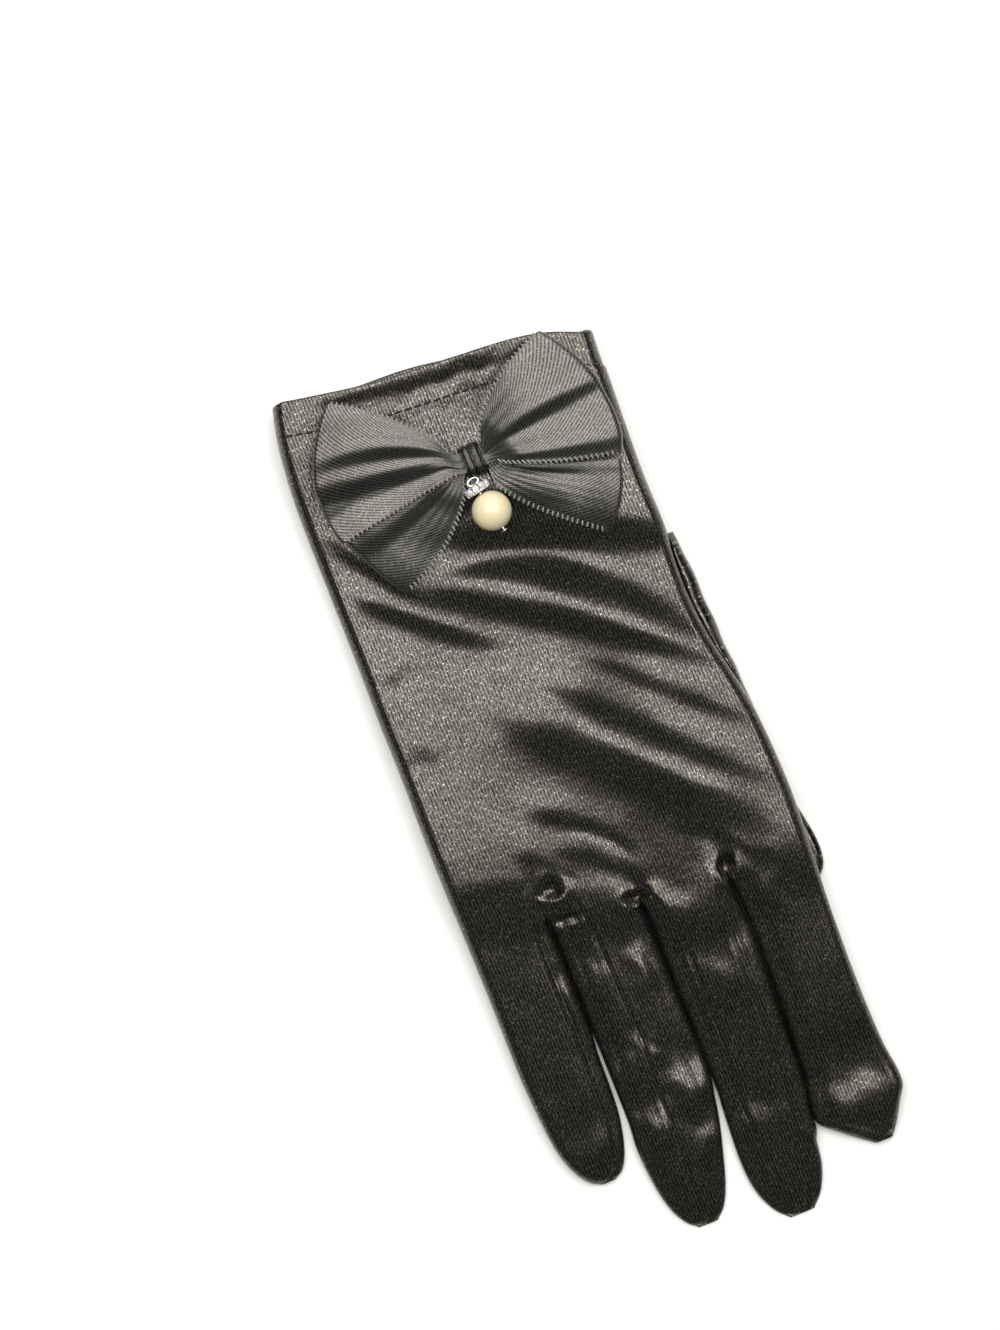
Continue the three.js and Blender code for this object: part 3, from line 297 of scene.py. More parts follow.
def fold_parts(x, y):
    """Height of the folds, and the slope by which the cloth beside them returns."""
    total, back_x, back_y = np.zeros_like(x), np.zeros_like(x), np.zeros_like(x)
    for a, m, b, widest, slope in FOLDS:
        line = curve_through(a, m, b, 25)
        nearest = np.full(x.shape, 1e9)
        signed, share, way_x, way_y = (np.zeros_like(x) for _ in range(4))
        for i in range(len(line) - 1):
            (px, py), (qx, qy) = line[i], line[i + 1]
            dx, dy = qx - px, qy - py
            size = math.hypot(dx, dy)
            t = np.clip(((x - px) * dx + (y - py) * dy) / size ** 2, 0, 1)
            ox, oy = x - px - t * dx, y - py - t * dy
            far = np.hypot(ox, oy)
            closer = far < nearest
            nearest = np.where(closer, far, nearest)
            signed = np.where(closer, (-dy * ox + dx * oy) / size, signed)
            share = np.where(closer, (i + t) / (len(line) - 1), share)
            way_x = np.where(closer, -dy / size, way_x)
            way_y = np.where(closer, dx / size, way_y)
        taper = smoothstep(0.0, 0.3, share) * smoothstep(0.0, 0.3, 1 - share)
        wide = widest * (0.25 + 0.75 * np.sqrt(4 * share * (1 - share)))
        along = np.sqrt(np.maximum(nearest ** 2 - signed ** 2, 0))
        reach = FOLD_REACH + FOLD_REACH_BY_WIDTH * widest
        fade = np.exp(-(signed / reach) ** 2) * np.exp(-(along / (1.5 * wide)) ** 2)
        step = STEP_HEIGHT * np.tanh(STEP_STEEPNESS * signed / wide)
        height = -slope * wide * step * fade * taper
        total += height
        back_x += height * -2 * signed / reach ** 2 * way_x
        back_y += height * -2 * signed / reach ** 2 * way_y
    return total, back_x, back_y


def swell_relief(x, y):
    total = np.zeros_like(x)
    x, y = (x + 0.9 * np.sin(0.55 * y + 0.3 * x), y + 0.9 * np.sin(0.62 * x - 0.2 * y))
    for (cx, cy), (rx, ry), slope in SWELLS:
        fall = np.exp(-((x - cx) / rx) ** 2 - ((y - cy) / ry) ** 2)
        total -= slope * (y - cy) * fall
    return total


def pucker_relief(x, y):
    """Uneven dimples, each with a lip on its finger side."""
    total = np.zeros_like(x)
    for (cx, cy), (rx, ry), depth, rim in PUCKERS:
        angle = np.arctan2(y - cy, x - cx)
        uneven = 1 + 0.16 * np.sin(2 * angle + cx) + 0.1 * np.sin(3 * angle + cy)
        far = np.hypot((x - cx) / rx, (y - cy) / ry) * uneven
        lip = 0.5 - 0.5 * np.sin(angle)
        total -= depth * np.exp(-(far / 0.72) ** 4)
        total += rim * (0.15 + lip) * np.exp(-((far - 1.2) / 0.4) ** 2)
    return total


def ripple_relief(x, y):
    """A faint unevenness of the cloth."""
    rng = np.random.default_rng(7)
    total = np.zeros_like(x)
    for _ in range(14):
        angle = rng.uniform(0, math.pi)
        period = rng.uniform(5.0, 16.0)
        phase = rng.uniform(0, 2 * math.pi)
        size = 0.0009 * period
        total += size * np.sin((x * math.cos(angle) + y * math.sin(angle))
                               * 2 * math.pi / period + phase)
    return total


def seam_relief(x, y):
    """Grooves along the seams that show on the fingers."""
    total = np.zeros_like(x)
    for finger in FINGERS:
        for key in ("left_seam", "right_seam"):
            seam = finger[key]
            if seam is None:
                continue
            reach, place = zip(*seam)
            off = x - smooth_table(reach, place, -y)
            here = smoothstep(reach[0] - 3, reach[0] + 3, -y)
            total -= here * GROOVE_DEPTH * np.exp(-(off / GROOVE_WIDTH) ** 2)
            beside = (np.abs(off) - RISE_OFFSET) / RISE_WIDTH
            total += here * RISE_HEIGHT * np.exp(-beside ** 2)
    return total


def relief_at(x, y):
    return (fold_parts(x, y)[0] + swell_relief(x, y) + pucker_relief(x, y)
            + ripple_relief(x, y) + seam_relief(x, y))


# Meshes
def face_outward(mesh):
    """Turns every face of a closed mesh outward."""
    work = bmesh.new()
    work.from_mesh(mesh)
    bmesh.ops.recalc_face_normals(work, faces=work.faces)
    work.to_mesh(mesh)
    work.free()


def make_piece(name, verts, faces, material, normals=None, uvs=None, smooth=True):
    """A mesh object from millimetres, riding on the one body. A face may name a corner twice."""
    mesh = bpy.data.meshes.new(name)
    corners = [list(dict.fromkeys(int(i) for i in face)) for face in faces]
    mesh.from_pydata((np.asarray(verts) * MM).tolist(), [], corners)
    mesh.validate()
    mesh.polygons.foreach_set("use_smooth", [smooth] * len(mesh.polygons))
    if uvs is not None:
        layer = mesh.uv_layers.new(name="cloth")
        loops = np.zeros(len(mesh.loops), np.int32)
        mesh.loops.foreach_get("vertex_index", loops)
        layer.data.foreach_set("uv", np.asarray(uvs)[loops].astype(np.float32).ravel())
    mesh.materials.append(material)
    obj = bpy.data.objects.new(name, mesh)
    bpy.context.scene.collection.objects.link(obj)
    if normals is None:
        face_outward(mesh)
    else:
        mesh.normals_split_custom_set_from_vertices(np.asarray(normals).tolist())
    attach(obj, "root")
    return obj


def vertex_normals(verts, faces):
    """Smooth normals of a mesh of quads."""
    faces = np.asarray(faces)
    a, b, c, d = (verts[faces[:, i]] for i in range(4))
    flat = np.cross(c - a, d - b)
    normals = np.zeros_like(verts)
    for i in range(4):
        np.add.at(normals, faces[:, i], flat)
    size = np.linalg.norm(normals, axis=1, keepdims=True)
    return normals / np.maximum(size, 1e-12)


def shell_of(verts, faces, normals, uvs, thickness):
    """A closed sheet: the outer faces, the same faces set in, and strips along the edges."""
    used, inverse = np.unique(faces, return_inverse=True)
    faces = inverse.reshape(faces.shape)
    outer, out_n, out_uv = verts[used], normals[used], uvs[used]
    inner = outer - out_n * thickness
    count = len(outer)
    inward = faces[:, ::-1] + count
    edges = np.concatenate([faces[:, [i, (i + 1) % 4]] for i in range(4)])
    edges = edges[edges[:, 0] != edges[:, 1]]
    keys = np.sort(edges, axis=1)
    _, first, times = np.unique(keys, axis=0, return_index=True, return_counts=True)
    rim = edges[first[times == 1]]
    strips = np.stack([rim[:, 1], rim[:, 0], rim[:, 0] + count, rim[:, 1] + count], axis=1)
    all_faces = np.concatenate([faces, inward, strips])
    return (np.concatenate([outer, inner]), all_faces,
            np.concatenate([out_n, -out_n]), np.concatenate([out_uv, out_uv]))


def ring_grid_faces(rows, count, wrap_rows=False):
    """Quads of a stack of closed rings."""
    r = np.arange(rows if wrap_rows else rows - 1)[:, None]
    i = np.arange(count)[None, :]
    nxt = (i + 1) % count
    up = (r + 1) % rows
    quads = np.stack([r * count + i, r * count + nxt, up * count + nxt, up * count + i], axis=-1)
    return quads.reshape(-1, 4)


def end_caps(rows, count):
    """The first and the last ring of a stack as faces."""
    return [tuple(range(count))[::-1], tuple(range((rows - 1) * count, rows * count))]


def over_the_top(x, y, low, high, edge_left, edge_right):
    """Places up the left side, over the top and down the right side, and their cloth."""
    angle = np.linspace(-math.pi / 2, math.pi / 2, ARC + 1)
    out, rise = np.cos(angle), (np.sin(angle) + 1) / 2
    places, cloth = [], []
    for k in range(ARC):
        places.append((x[0] - edge_left * out[k], y[0], lerp(low[0], high[0], rise[k])))
        cloth.append((x[0] - SIDE_CLOTH * (ARC - k), y[0]))
    places.extend(zip(x, y, high))
    cloth.extend(zip(x, y))
    for k in range(ARC - 1, -1, -1):
        places.append((x[-1] + edge_right * out[k], y[-1], lerp(low[-1], high[-1], rise[k])))
        cloth.append((x[-1] + SIDE_CLOTH * (ARC - k), y[-1]))
    return places, cloth


# The hand: rings round each finger, whose palm part is open towards its neighbours
# It has rings on the palm and on each finger, steps round each side and under it, and sides
# whose roundness reaches out by the two edges. Each step of a side takes SIDE_CLOTH of cloth.
PALM_ROWS = 180
FINGER_ROWS = 124
ARC = 6
UNDER = 8
PALM_EDGE = 2.7
FINGER_EDGE = 2.6
SIDE_CLOTH = 1.6

# The dip of the cloth beside the walls between two fingers, and the distances over which the
# dip, the parting of two fingers, a finger's edges and the curve of its root come in
VALLEY_WIDTH, VALLEY_DEPTH = 2.4, 1.2
VALLEY_RUN, PARTING_RUN, ROOT_RUN, EDGE_RUN, FOOT_RUN = 16.0, 6.0, 3.0, 7.0, 12.0

# The pieces of the hand, by their labels from 0 on
HAND_NODES = ("trank", "little_finger", "ring_finger", "middle_finger", "index_finger",
              "fourchette_little_ring", "fourchette_ring_middle", "fourchette_middle_index")
NO_PART, PALM_PART = -1, 0
FINGER_PARTS = (1, 2, 3, 4)
STRIP_PARTS = (5, 6, 7)


def parted(number, far, own):
    """An edge beside the finger before: on one line with it down to where the two part."""
    before, after = FINGERS[number - 1]["rows"], FINGERS[number]["rows"]
    right = smooth_table([row[0] for row in before], [row[2] for row in before], far)
    left = smooth_table([row[0] for row in after], [row[1] for row in after], far)
    apart = smoothstep(PARTINGS[number - 1], PARTINGS[number - 1] + PARTING_RUN, far)
    return float(lerp((left + right) / 2, own, apart))


def valleys(x, walls):
    """How deep the cloth sinks beside the walls between two fingers, from 0 to 1."""
    return sum(np.exp(-((x - wall) / VALLEY_WIDTH) ** 2) for wall in walls)


def hand_rings(number):
    """Places and labels of one finger's rings, from the stitching down to its tip."""
    finger = FINGERS[number]
    columns = finger["columns"]
    reach, left_x, right_x, thick = (np.array(c, float) for c in zip(*finger["rows"]))
    first, last = number == 0, number == len(FINGERS) - 1
    foot_left, foot_right = side_edges(np.array(-100.0))
    span = (foot_left + PALM_EDGE, foot_right - PALM_EDGE)
    bounds = (span[0],) + CROTCHES + (span[1],)
    shares = [(b - span[0]) / (span[1] - span[0]) for b in bounds]
    share_here = np.linspace(shares[number], shares[number + 1], columns + 1)
    even = np.linspace(0.0, 1.0, columns + 1)
    rows = []
    for r in range(PALM_ROWS + 1):
        q = 1 - r / PALM_ROWS
        y_left = lerp(foot_line(FOOT_LEFT), stitch_line(STITCH_LEFT), q)
        y_right = lerp(foot_line(FOOT_RIGHT), stitch_line(STITCH_RIGHT), q)
        left, right = side_edges(y_left)[0], side_edges(y_right)[1]
        x = lerp(left + PALM_EDGE, right - PALM_EDGE, share_here)
        y = lerp(foot_line(x), stitch_line(x), q)
        walls = lerp(left + PALM_EDGE, right - PALM_EDGE, np.array(shares))
        near = 1 - smoothstep(0.0, VALLEY_RUN, y - foot_line(x))
        valley = valleys(x, walls[1:-1]) * near
        rows.append({"x": x, "y": y, "valley": valley, "thick": 1.0,
                     "edges": (PALM_EDGE * first, PALM_EDGE * last)})
    middle = (bounds[number] + bounds[number + 1]) / 2
    start = -float(foot_line(middle))
    for j in range(1, FINGER_ROWS + 1):
        g = 1 - (1 - j / FINGER_ROWS) ** 1.35
        far = lerp(start, reach[-1], g)
        gone = far - start
        grow = smoothstep(0.0, EDGE_RUN, gone)
        part = smoothstep(0.0, ROOT_RUN, gone)
        left = float(smooth_table(reach, left_x, far))
        right = float(smooth_table(reach, right_x, far))
        if not first:
            left = lerp(bounds[number], parted(number, far, left), part)
        if not last:
            right = lerp(bounds[number + 1], parted(number + 1, far, right), part)
        edges = [min(lerp(PALM_EDGE, FINGER_EDGE, grow) if outer else FINGER_EDGE * grow,
                     0.42 * (right - left)) for outer in (first, last)]
        x = lerp(left + edges[0], right - edges[1], even)
        y = -far + (foot_line(x) + start) * (1 - smoothstep(0.0, FOOT_RUN, gone))
        walls = [wall for wall, outer in ((x[0], first), (x[-1], last)) if not outer]
        rows.append({"x": x, "y": y, "valley": valleys(x, walls),
                     "thick": float(smooth_table(reach, thick, far)), "edges": edges})
    return rows


def ring_places(row, relief):
    """One ring: left side up, the top, the right side down, and the underside back."""
    x, y = row["x"], row["y"]
    low = floor_at(x, y)
    high = lerp(low, smooth_top_at(x, y) + relief - VALLEY_DEPTH * row["valley"], row["thick"])
    places, cloth = over_the_top(x, y, low, high, *row["edges"])
    for k in np.linspace(len(x) - 1, 0, UNDER + 1)[1:-1]:
        i = int(k)
        px, py = lerp(x[i], x[i + 1], k - i), lerp(y[i], y[i + 1], k - i)
        places.append((px, py, float(floor_at(px, py))))
        cloth.append((px, py))
    return places, cloth


def tip_faces(columns, right_end, count):
    """Faces that close a fingertip: top to underside, and each side folded onto itself."""
    under = ([right_end] + list(range(right_end + 1, count)) + [0])[::-1]
    last = len(under) - 1
    faces = []
    for k in range(columns):
        c = under[min(int(k / columns * last), last)]
        d = under[min(int((k + 1) / columns * last), last)]
        faces.append((ARC + k, ARC + k + 1, d, c))
    for side in (range(ARC + 1), range(ARC + columns, right_end + 1)):
        faces.extend((side[k], side[k + 1], side[-2 - k], side[-1 - k])
                     for k in range(len(side) // 2))
    return faces


def build_hand():
    """The whole hand as one mesh, and for each quad the piece that it belongs to."""
    verts, uvs, faces, labels = [], [], [], []
    for number, finger in enumerate(FINGERS):
        rows = hand_rings(number)
        columns = finger["columns"]
        own = FINGER_PARTS[number]
        left_part = STRIP_PARTS[number - 1] if number > 0 else own
        right_part = STRIP_PARTS[number] if number < len(FINGERS) - 1 else own
        relief = relief_at(np.array([row["x"] for row in rows]),
                           np.array([row["y"] for row in rows]))
        grid = [ring_places(row, lift) for row, lift in zip(rows, relief)]
        count = len(grid[0][0])
        offset = len(verts)
        for places, cloth in grid:
            verts.extend(places)
            uvs.extend(cloth)
        top_end = ARC + columns
        right_end = top_end + ARC
        marks = np.full((len(rows) - 1, count), own)
        marks[:, :ARC] = left_part
        marks[:, -1] = left_part
        marks[:, top_end:right_end + 1] = right_part
        marks[:PALM_ROWS] = PALM_PART
        if left_part != own:
            marks[:PALM_ROWS, :ARC] = NO_PART
        if right_part != own:
            marks[:PALM_ROWS, top_end:right_end] = NO_PART
        for r in range(PALM_ROWS, len(rows) - 1):
            x, far = rows[r + 1]["x"], -np.mean(rows[r + 1]["y"])
            middles = 0.5 * (x[:-1] + x[1:])
            top = marks[r, ARC:top_end]
            if finger["left_seam"]:
                top[middles < smooth_table(*zip(*finger["left_seam"]), far)] = left_part
            if finger["right_seam"]:
                top[middles > smooth_table(*zip(*finger["right_seam"]), far)] = right_part
        marks = marks.ravel()
        quads = ring_grid_faces(len(rows), count)[marks != NO_PART] + offset
        tips = np.array(tip_faces(columns, right_end, count)) + len(verts) - count
        faces += [quads, tips]
        labels += [marks[marks != NO_PART], np.full(len(tips), own)]
    verts, uvs = np.array(verts, float), np.array(uvs, float)
    faces, labels = np.concatenate(faces), np.concatenate(labels)
    keys = np.round(verts * 1000).astype(np.int64)
    _, first_of, inverse = np.unique(keys, axis=0, return_index=True, return_inverse=True)
    faces = inverse.ravel()[faces]
    verts, uvs = verts[first_of], uvs[first_of]
    repeats = (np.diff(np.sort(faces, axis=1), axis=1) == 0).sum(axis=1)
    beside = (faces == np.roll(faces, -1, axis=1)).sum(axis=1)
    keep = (repeats <= 1) & (repeats == beside)
    faces, labels = faces[keep], labels[keep]
    normals = vertex_normals(verts, faces)
    if normals[np.argmax(verts[:, 2])][2] < 0:
        faces = faces[:, ::-1]
        normals = -normals
    x, y = verts[:, 0], verts[:, 1]
    upper = smoothstep(0.3, 0.8, normals[:, 2])
    lean = upper * FINGER_LEAN * smoothstep(0.0, 12.0, below_sink(x, y))
    _, back_x, back_y = fold_parts(x, y)
    normals[:, 0] += upper * back_x - lean * IMAGE_UP.x
    normals[:, 1] += upper * back_y - lean * IMAGE_UP.y
    normals /= np.maximum(np.linalg.norm(normals, axis=1, keepdims=True), 1e-9)
    return verts, faces, labels, normals, uvs


# Materials
def new_material(name):
    material = bpy.data.materials.new(name)
    material.use_nodes = True
    nodes = material.node_tree.nodes
    return material, nodes, material.node_tree.links, nodes["Principled BSDF"]


def add_node(nodes, kind, **values):
    node = nodes.new(kind)
    for key, value in values.items():
        if key in node.inputs:
            node.inputs[key].default_value = value
        else:
            setattr(node, key, value)
    return node


def map_range(nodes, links, source, low, high, to_low, to_high):
    node = add_node(nodes, "ShaderNodeMapRange",
                    **{"From Min": low, "From Max": high, "To Min": to_low, "To Max": to_high})
    links.new(source, node.inputs["Value"])
    return node.outputs["Result"]


def between(nodes, links, source, dark, light):
    """A colour between two, by the value of a source."""
    mix = add_node(nodes, "ShaderNodeMix", data_type="RGBA")
    mix.inputs[6].default_value = tuple(dark) + (1,)
    mix.inputs[7].default_value = tuple(light) + (1,)
    links.new(source, mix.inputs[0])
    return mix


def woven_material(name, dark, light, glint, pitch, angle, rough, speck, depth):
    """Satin: fine ribs at a pitch and angle, broken up by specks and glints of thread."""
    material, nodes, links, shader = new_material(name)
    place = add_node(nodes, "ShaderNodeUVMap", uv_map="cloth").outputs["UV"]
    turn = add_node(nodes, "ShaderNodeMapping", Rotation=(0, 0, angle))
    thread = add_node(nodes, "ShaderNodeMapping", Rotation=(0, 0, angle),
                      Scale=(1.7 / pitch, 0.6 / pitch, 1))
    ribs = add_node(nodes, "ShaderNodeTexWave", wave_type="BANDS", bands_direction="X",
                    Scale=2 * math.pi / (20 * pitch), Distortion=0.8, Detail=2.0,
                    **{"Detail Scale": 1.6})
    specks = add_node(nodes, "ShaderNodeTexNoise", Scale=1.0, Detail=1.0, Roughness=0.7)
    shine = add_node(nodes, "ShaderNodeTexNoise", Scale=1.9, Detail=0.0)
    clouds = add_node(nodes, "ShaderNodeTexNoise", Scale=0.09, Detail=3.0, Roughness=0.55)
    along_ribs, along_thread = turn.outputs["Vector"], thread.outputs["Vector"]
    for source, node in ((place, turn), (place, thread), (place, clouds), (along_ribs, ribs),
                         (along_thread, specks), (along_thread, shine)):
        links.new(source, node.inputs["Vector"])
    crisp = map_range(nodes, links, specks.outputs["Fac"], 0.36, 0.66, 0, speck)
    weave = add_node(nodes, "ShaderNodeMath", operation="MULTIPLY_ADD")
    weave.inputs[1].default_value = 1 - speck
    links.new(ribs.outputs["Fac"], weave.inputs[0])
    links.new(crisp, weave.inputs[2])
    tone = between(nodes, links, weave.outputs[0], dark, light)
    glow = map_range(nodes, links, shine.outputs["Fac"], 0.66, 0.76, 0, 1)
    bright = between(nodes, links, glow, dark, glint)
    links.new(tone.outputs[2], bright.inputs[6])
    links.new(bright.outputs[2], shader.inputs["Base Color"])
    gloss = map_range(nodes, links, clouds.outputs["Fac"], 0.3, 0.7, rough - 0.03, rough + 0.03)
    links.new(gloss, shader.inputs["Roughness"])
    bump = add_node(nodes, "ShaderNodeBump", Strength=1.0, Distance=depth * MM)
    links.new(weave.outputs[0], bump.inputs["Height"])
    links.new(bump.outputs["Normal"], shader.inputs["Normal"])
    shader.inputs["Metallic"].default_value = 0.9
    return material


def mottled(name, dark, light, metallic, scale, detail):
    """A material between two tones by a fine noise, and what a caller needs to go on."""
    material, nodes, links, shader = new_material(name)
    place = add_node(nodes, "ShaderNodeTexCoord")
    noise = add_node(nodes, "ShaderNodeTexNoise", Scale=scale, Detail=detail)
    links.new(place.outputs["Object"], noise.inputs["Vector"])
    tone = between(nodes, links, noise.outputs["Fac"], dark, light)
    links.new(tone.outputs[2], shader.inputs["Base Color"])
    shader.inputs["Metallic"].default_value = metallic
    return material, nodes, links, shader, noise.outputs["Fac"]


def plain_material(name, colour, rough, metallic=0.0, mottle=0.06, coat=0.0, scale=400.0):
    """A smooth finish with a faint mottle in its colour and gloss."""
    dark = [c * (1 - mottle) for c in colour]
    light = [min(1, c * (1 + mottle)) for c in colour]
    material, nodes, links, shader, noise = mottled(name, dark, light, metallic, scale, 3.0)
    gloss = map_range(nodes, links, noise, 0, 1, max(0.02, rough - 0.05), rough + 0.05)
    links.new(gloss, shader.inputs["Roughness"])
    shader.inputs["Coat Weight"].default_value = coat
    return material


def stone_material():
    """Clear cut glass with a bright back."""
    material, _, _, shader, _ = mottled("clear_stone", (0.55, 0.57, 0.6), (0.98, 0.98, 0.98),
                                        0.35, 900.0, 1.0)
    shader.inputs["Roughness"].default_value = 0.06
    shader.inputs["IOR"].default_value = 1.9
    return material


SATIN = woven_material("black_satin", (0.004, 0.0037, 0.0033), (0.125, 0.117, 0.104),
                       (0.34, 0.32, 0.285), pitch=0.84, angle=0.0, rough=0.29, speck=0.36,
                       depth=0.012)
RIBBON = woven_material("ribbon_satin", (0.022, 0.0215, 0.02), (0.15, 0.146, 0.135),
                        (0.22, 0.214, 0.2), pitch=0.8, angle=0.9, rough=0.34, speck=0.2,
                        depth=0.014)
KNOT_RIBBON = woven_material("knot_satin", (0.01, 0.0098, 0.009), (0.09, 0.087, 0.08),
                             (0.16, 0.155, 0.145), pitch=0.4, angle=0.2, rough=0.34, speck=0.3,
                             depth=0.014)
THREAD = plain_material("sewing_thread", (0.004, 0.004, 0.0035), 0.6)
# The picot loops are painted grey, a painted sheen, so that they read as lit dashes along the black
# ribbon's edges.
PICOT_SHEEN = plain_material("picot_thread_painted_sheen", (0.26, 0.255, 0.235), 0.45)
PEARL = plain_material("pearl_lustre", (0.80, 0.70, 0.46), 0.3, coat=0.4, scale=300.0)
SILVER = plain_material("silver_plate", (0.72, 0.72, 0.70), 0.22, metallic=1.0)


STONE = stone_material()


# The hand's pieces
def hand_pieces():
    verts, faces, labels, normals, uvs = build_hand()
    for label, name in enumerate(HAND_NODES):
        part = faces[labels == label]
        mesh = shell_of(verts, part, normals, uvs, CLOTH)
        piece = make_piece(name + "_satin", mesh[0], mesh[1], SATIN,
                           normals=mesh[2], uvs=mesh[3])
        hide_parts(name)


# The hem: a band that turns in at the cuff edge, and its stitches
HEM_WALL = 1.5
STITCHES_FROM, STITCHES_TO = -38.0, 41.0
STITCH_LENGTH, STITCH_PITCH, STITCH_RADIUS = 1.3, 2.5, 0.3


def hem_pieces():
    """The doubled band: its outside from the stitching out, the turned edge, and its inside."""
    columns = 112
    under = 40
    outward = np.linspace(0.0, 1.0, 14)
    turn = np.linspace(0, math.pi, 6)[1:-1]
    path = [(p, 0.0) for p in outward]
    path += [(1 + 0.06 * math.sin(a), HEM_WALL * (1 - math.cos(a)) / 2) for a in turn]
    path += [(p, HEM_WALL) for p in outward[::-1]]
    verts, uvs = [], []
    for share, inset in path:
        y_left = lerp(stitch_line(STITCH_LEFT), cuff_line(CUFF_LEFT), share)
        y_right = lerp(stitch_line(STITCH_RIGHT), cuff_line(CUFF_RIGHT), share)
        left = side_edges(y_left)[0] + inset
        right = side_edges(y_right)[1] + inset * -1 - 0.3
        x = np.linspace(left + PALM_EDGE, right - PALM_EDGE, columns + 1)
        y = lerp(stitch_line(x), cuff_line(x), share)
        high = smooth_top_at(x, y) + relief_at(x, y) - inset
        low_x = np.linspace(left + PALM_EDGE, right - PALM_EDGE, under + 1)
        past = 1.7 * np.exp(-((low_x + 6) / 15) ** 2) * smoothstep(0.5, 1.0, share)
        low_y = lerp(stitch_line(low_x), cuff_line(low_x), share) + past
        low = floor_at(low_x, low_y) + inset
        places, cloth = over_the_top(x, y, low, high, PALM_EDGE, PALM_EDGE)
        back = slice(under - 1, 0, -1)
        verts += places + list(zip(low_x[back], low_y[back], low[back]))
        uvs += cloth + list(zip(low_x[back], low_y[back]))
    verts, uvs = np.array(verts, float), np.array(uvs, float)
    count = len(verts) // len(path)
    faces = ring_grid_faces(len(path), count)
    normals = vertex_normals(verts, faces)
    closing = ring_grid_faces(len(path), count, wrap_rows=True)[-count:]
    if normals[ARC + columns // 2][2] < 0:
        faces, closing, normals = faces[:, ::-1], closing[:, ::-1], -normals
    faces = np.concatenate([faces, closing])
    piece = make_piece("cuff_hem_satin", verts, faces, SATIN, normals=normals, uvs=uvs)
    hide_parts("cuff_hem")


def capsule(start, end, radius, sides=6, rings=3):
    """A short thread between two places, with round ends."""
    start, end = np.array(start, float), np.array(end, float)
    axis = end - start
    length = np.linalg.norm(axis)
    axis = axis / length
    side = np.cross(axis, (0, 0, 1))
    side = side / np.linalg.norm(side)
    up = np.cross(side, axis)
    profile = [(-radius * math.cos(a), radius * math.sin(a))
               for a in np.linspace(0.15, math.pi / 2, rings)]
    profile += [(length + radius * math.cos(a), radius * math.sin(a))
                for a in np.linspace(math.pi / 2, 0.15, rings)]
    verts = []
    for far, wide in profile:
        for i in range(sides):
            a = 2 * math.pi * i / sides
            verts.append(start + axis * far + (side * math.cos(a) + up * math.sin(a)) * wide)
    faces = ring_grid_faces(len(profile), sides).tolist() + end_caps(len(profile), sides)
    return verts, faces


def join_bodies(bodies):
    verts, faces = [], []
    for body_verts, body_faces in bodies:
        shift = len(verts)
        verts.extend(body_verts)
        faces.extend(tuple(i + shift for i in face) for face in body_faces)
    return verts, faces


def hem_stitches():
    """Stitches along the hem, each a short thread that dips at its ends."""
    bodies = []
    start = STITCHES_FROM
    while start < STITCHES_TO:
        x = np.array([start, start + STITCH_LENGTH])
        y = stitch_line(x) + 0.9
        z = smooth_top_at(x, y) + relief_at(x, y) + 0.2
        bodies.append(capsule(*zip(x, y, z), STITCH_RADIUS))
        start += STITCH_PITCH
    verts, faces = join_bodies(bodies)
    make_piece("hem_stitches", verts, faces, THREAD)


# The thumb, folded under the palm, with the stretch that shows beside its edge. Rows of
# distance from the middle of the palm, left edge, right edge and share of the full height.
THUMB_FLOOR = 0.05
THUMB_ROWS = (
    (-9.0, 37.5, 42.5, 0.75), (0.0, 30.0, 43.1, 1), (20.0, 25.0, 43.6, 1),
    (40.0, 23.3, 44.5, 1), (55.0, 22.7, 44.4, 1), (66.0, 23.3, 45.0, 1),
    (76.5, 25.2, 46.4, 1), (83.0, 28.6, 45.6, 0.85), (87.0, 34.4, 42.2, 0.55),
)


def steps(count):
    return np.linspace(0, 1, count, endpoint=False)


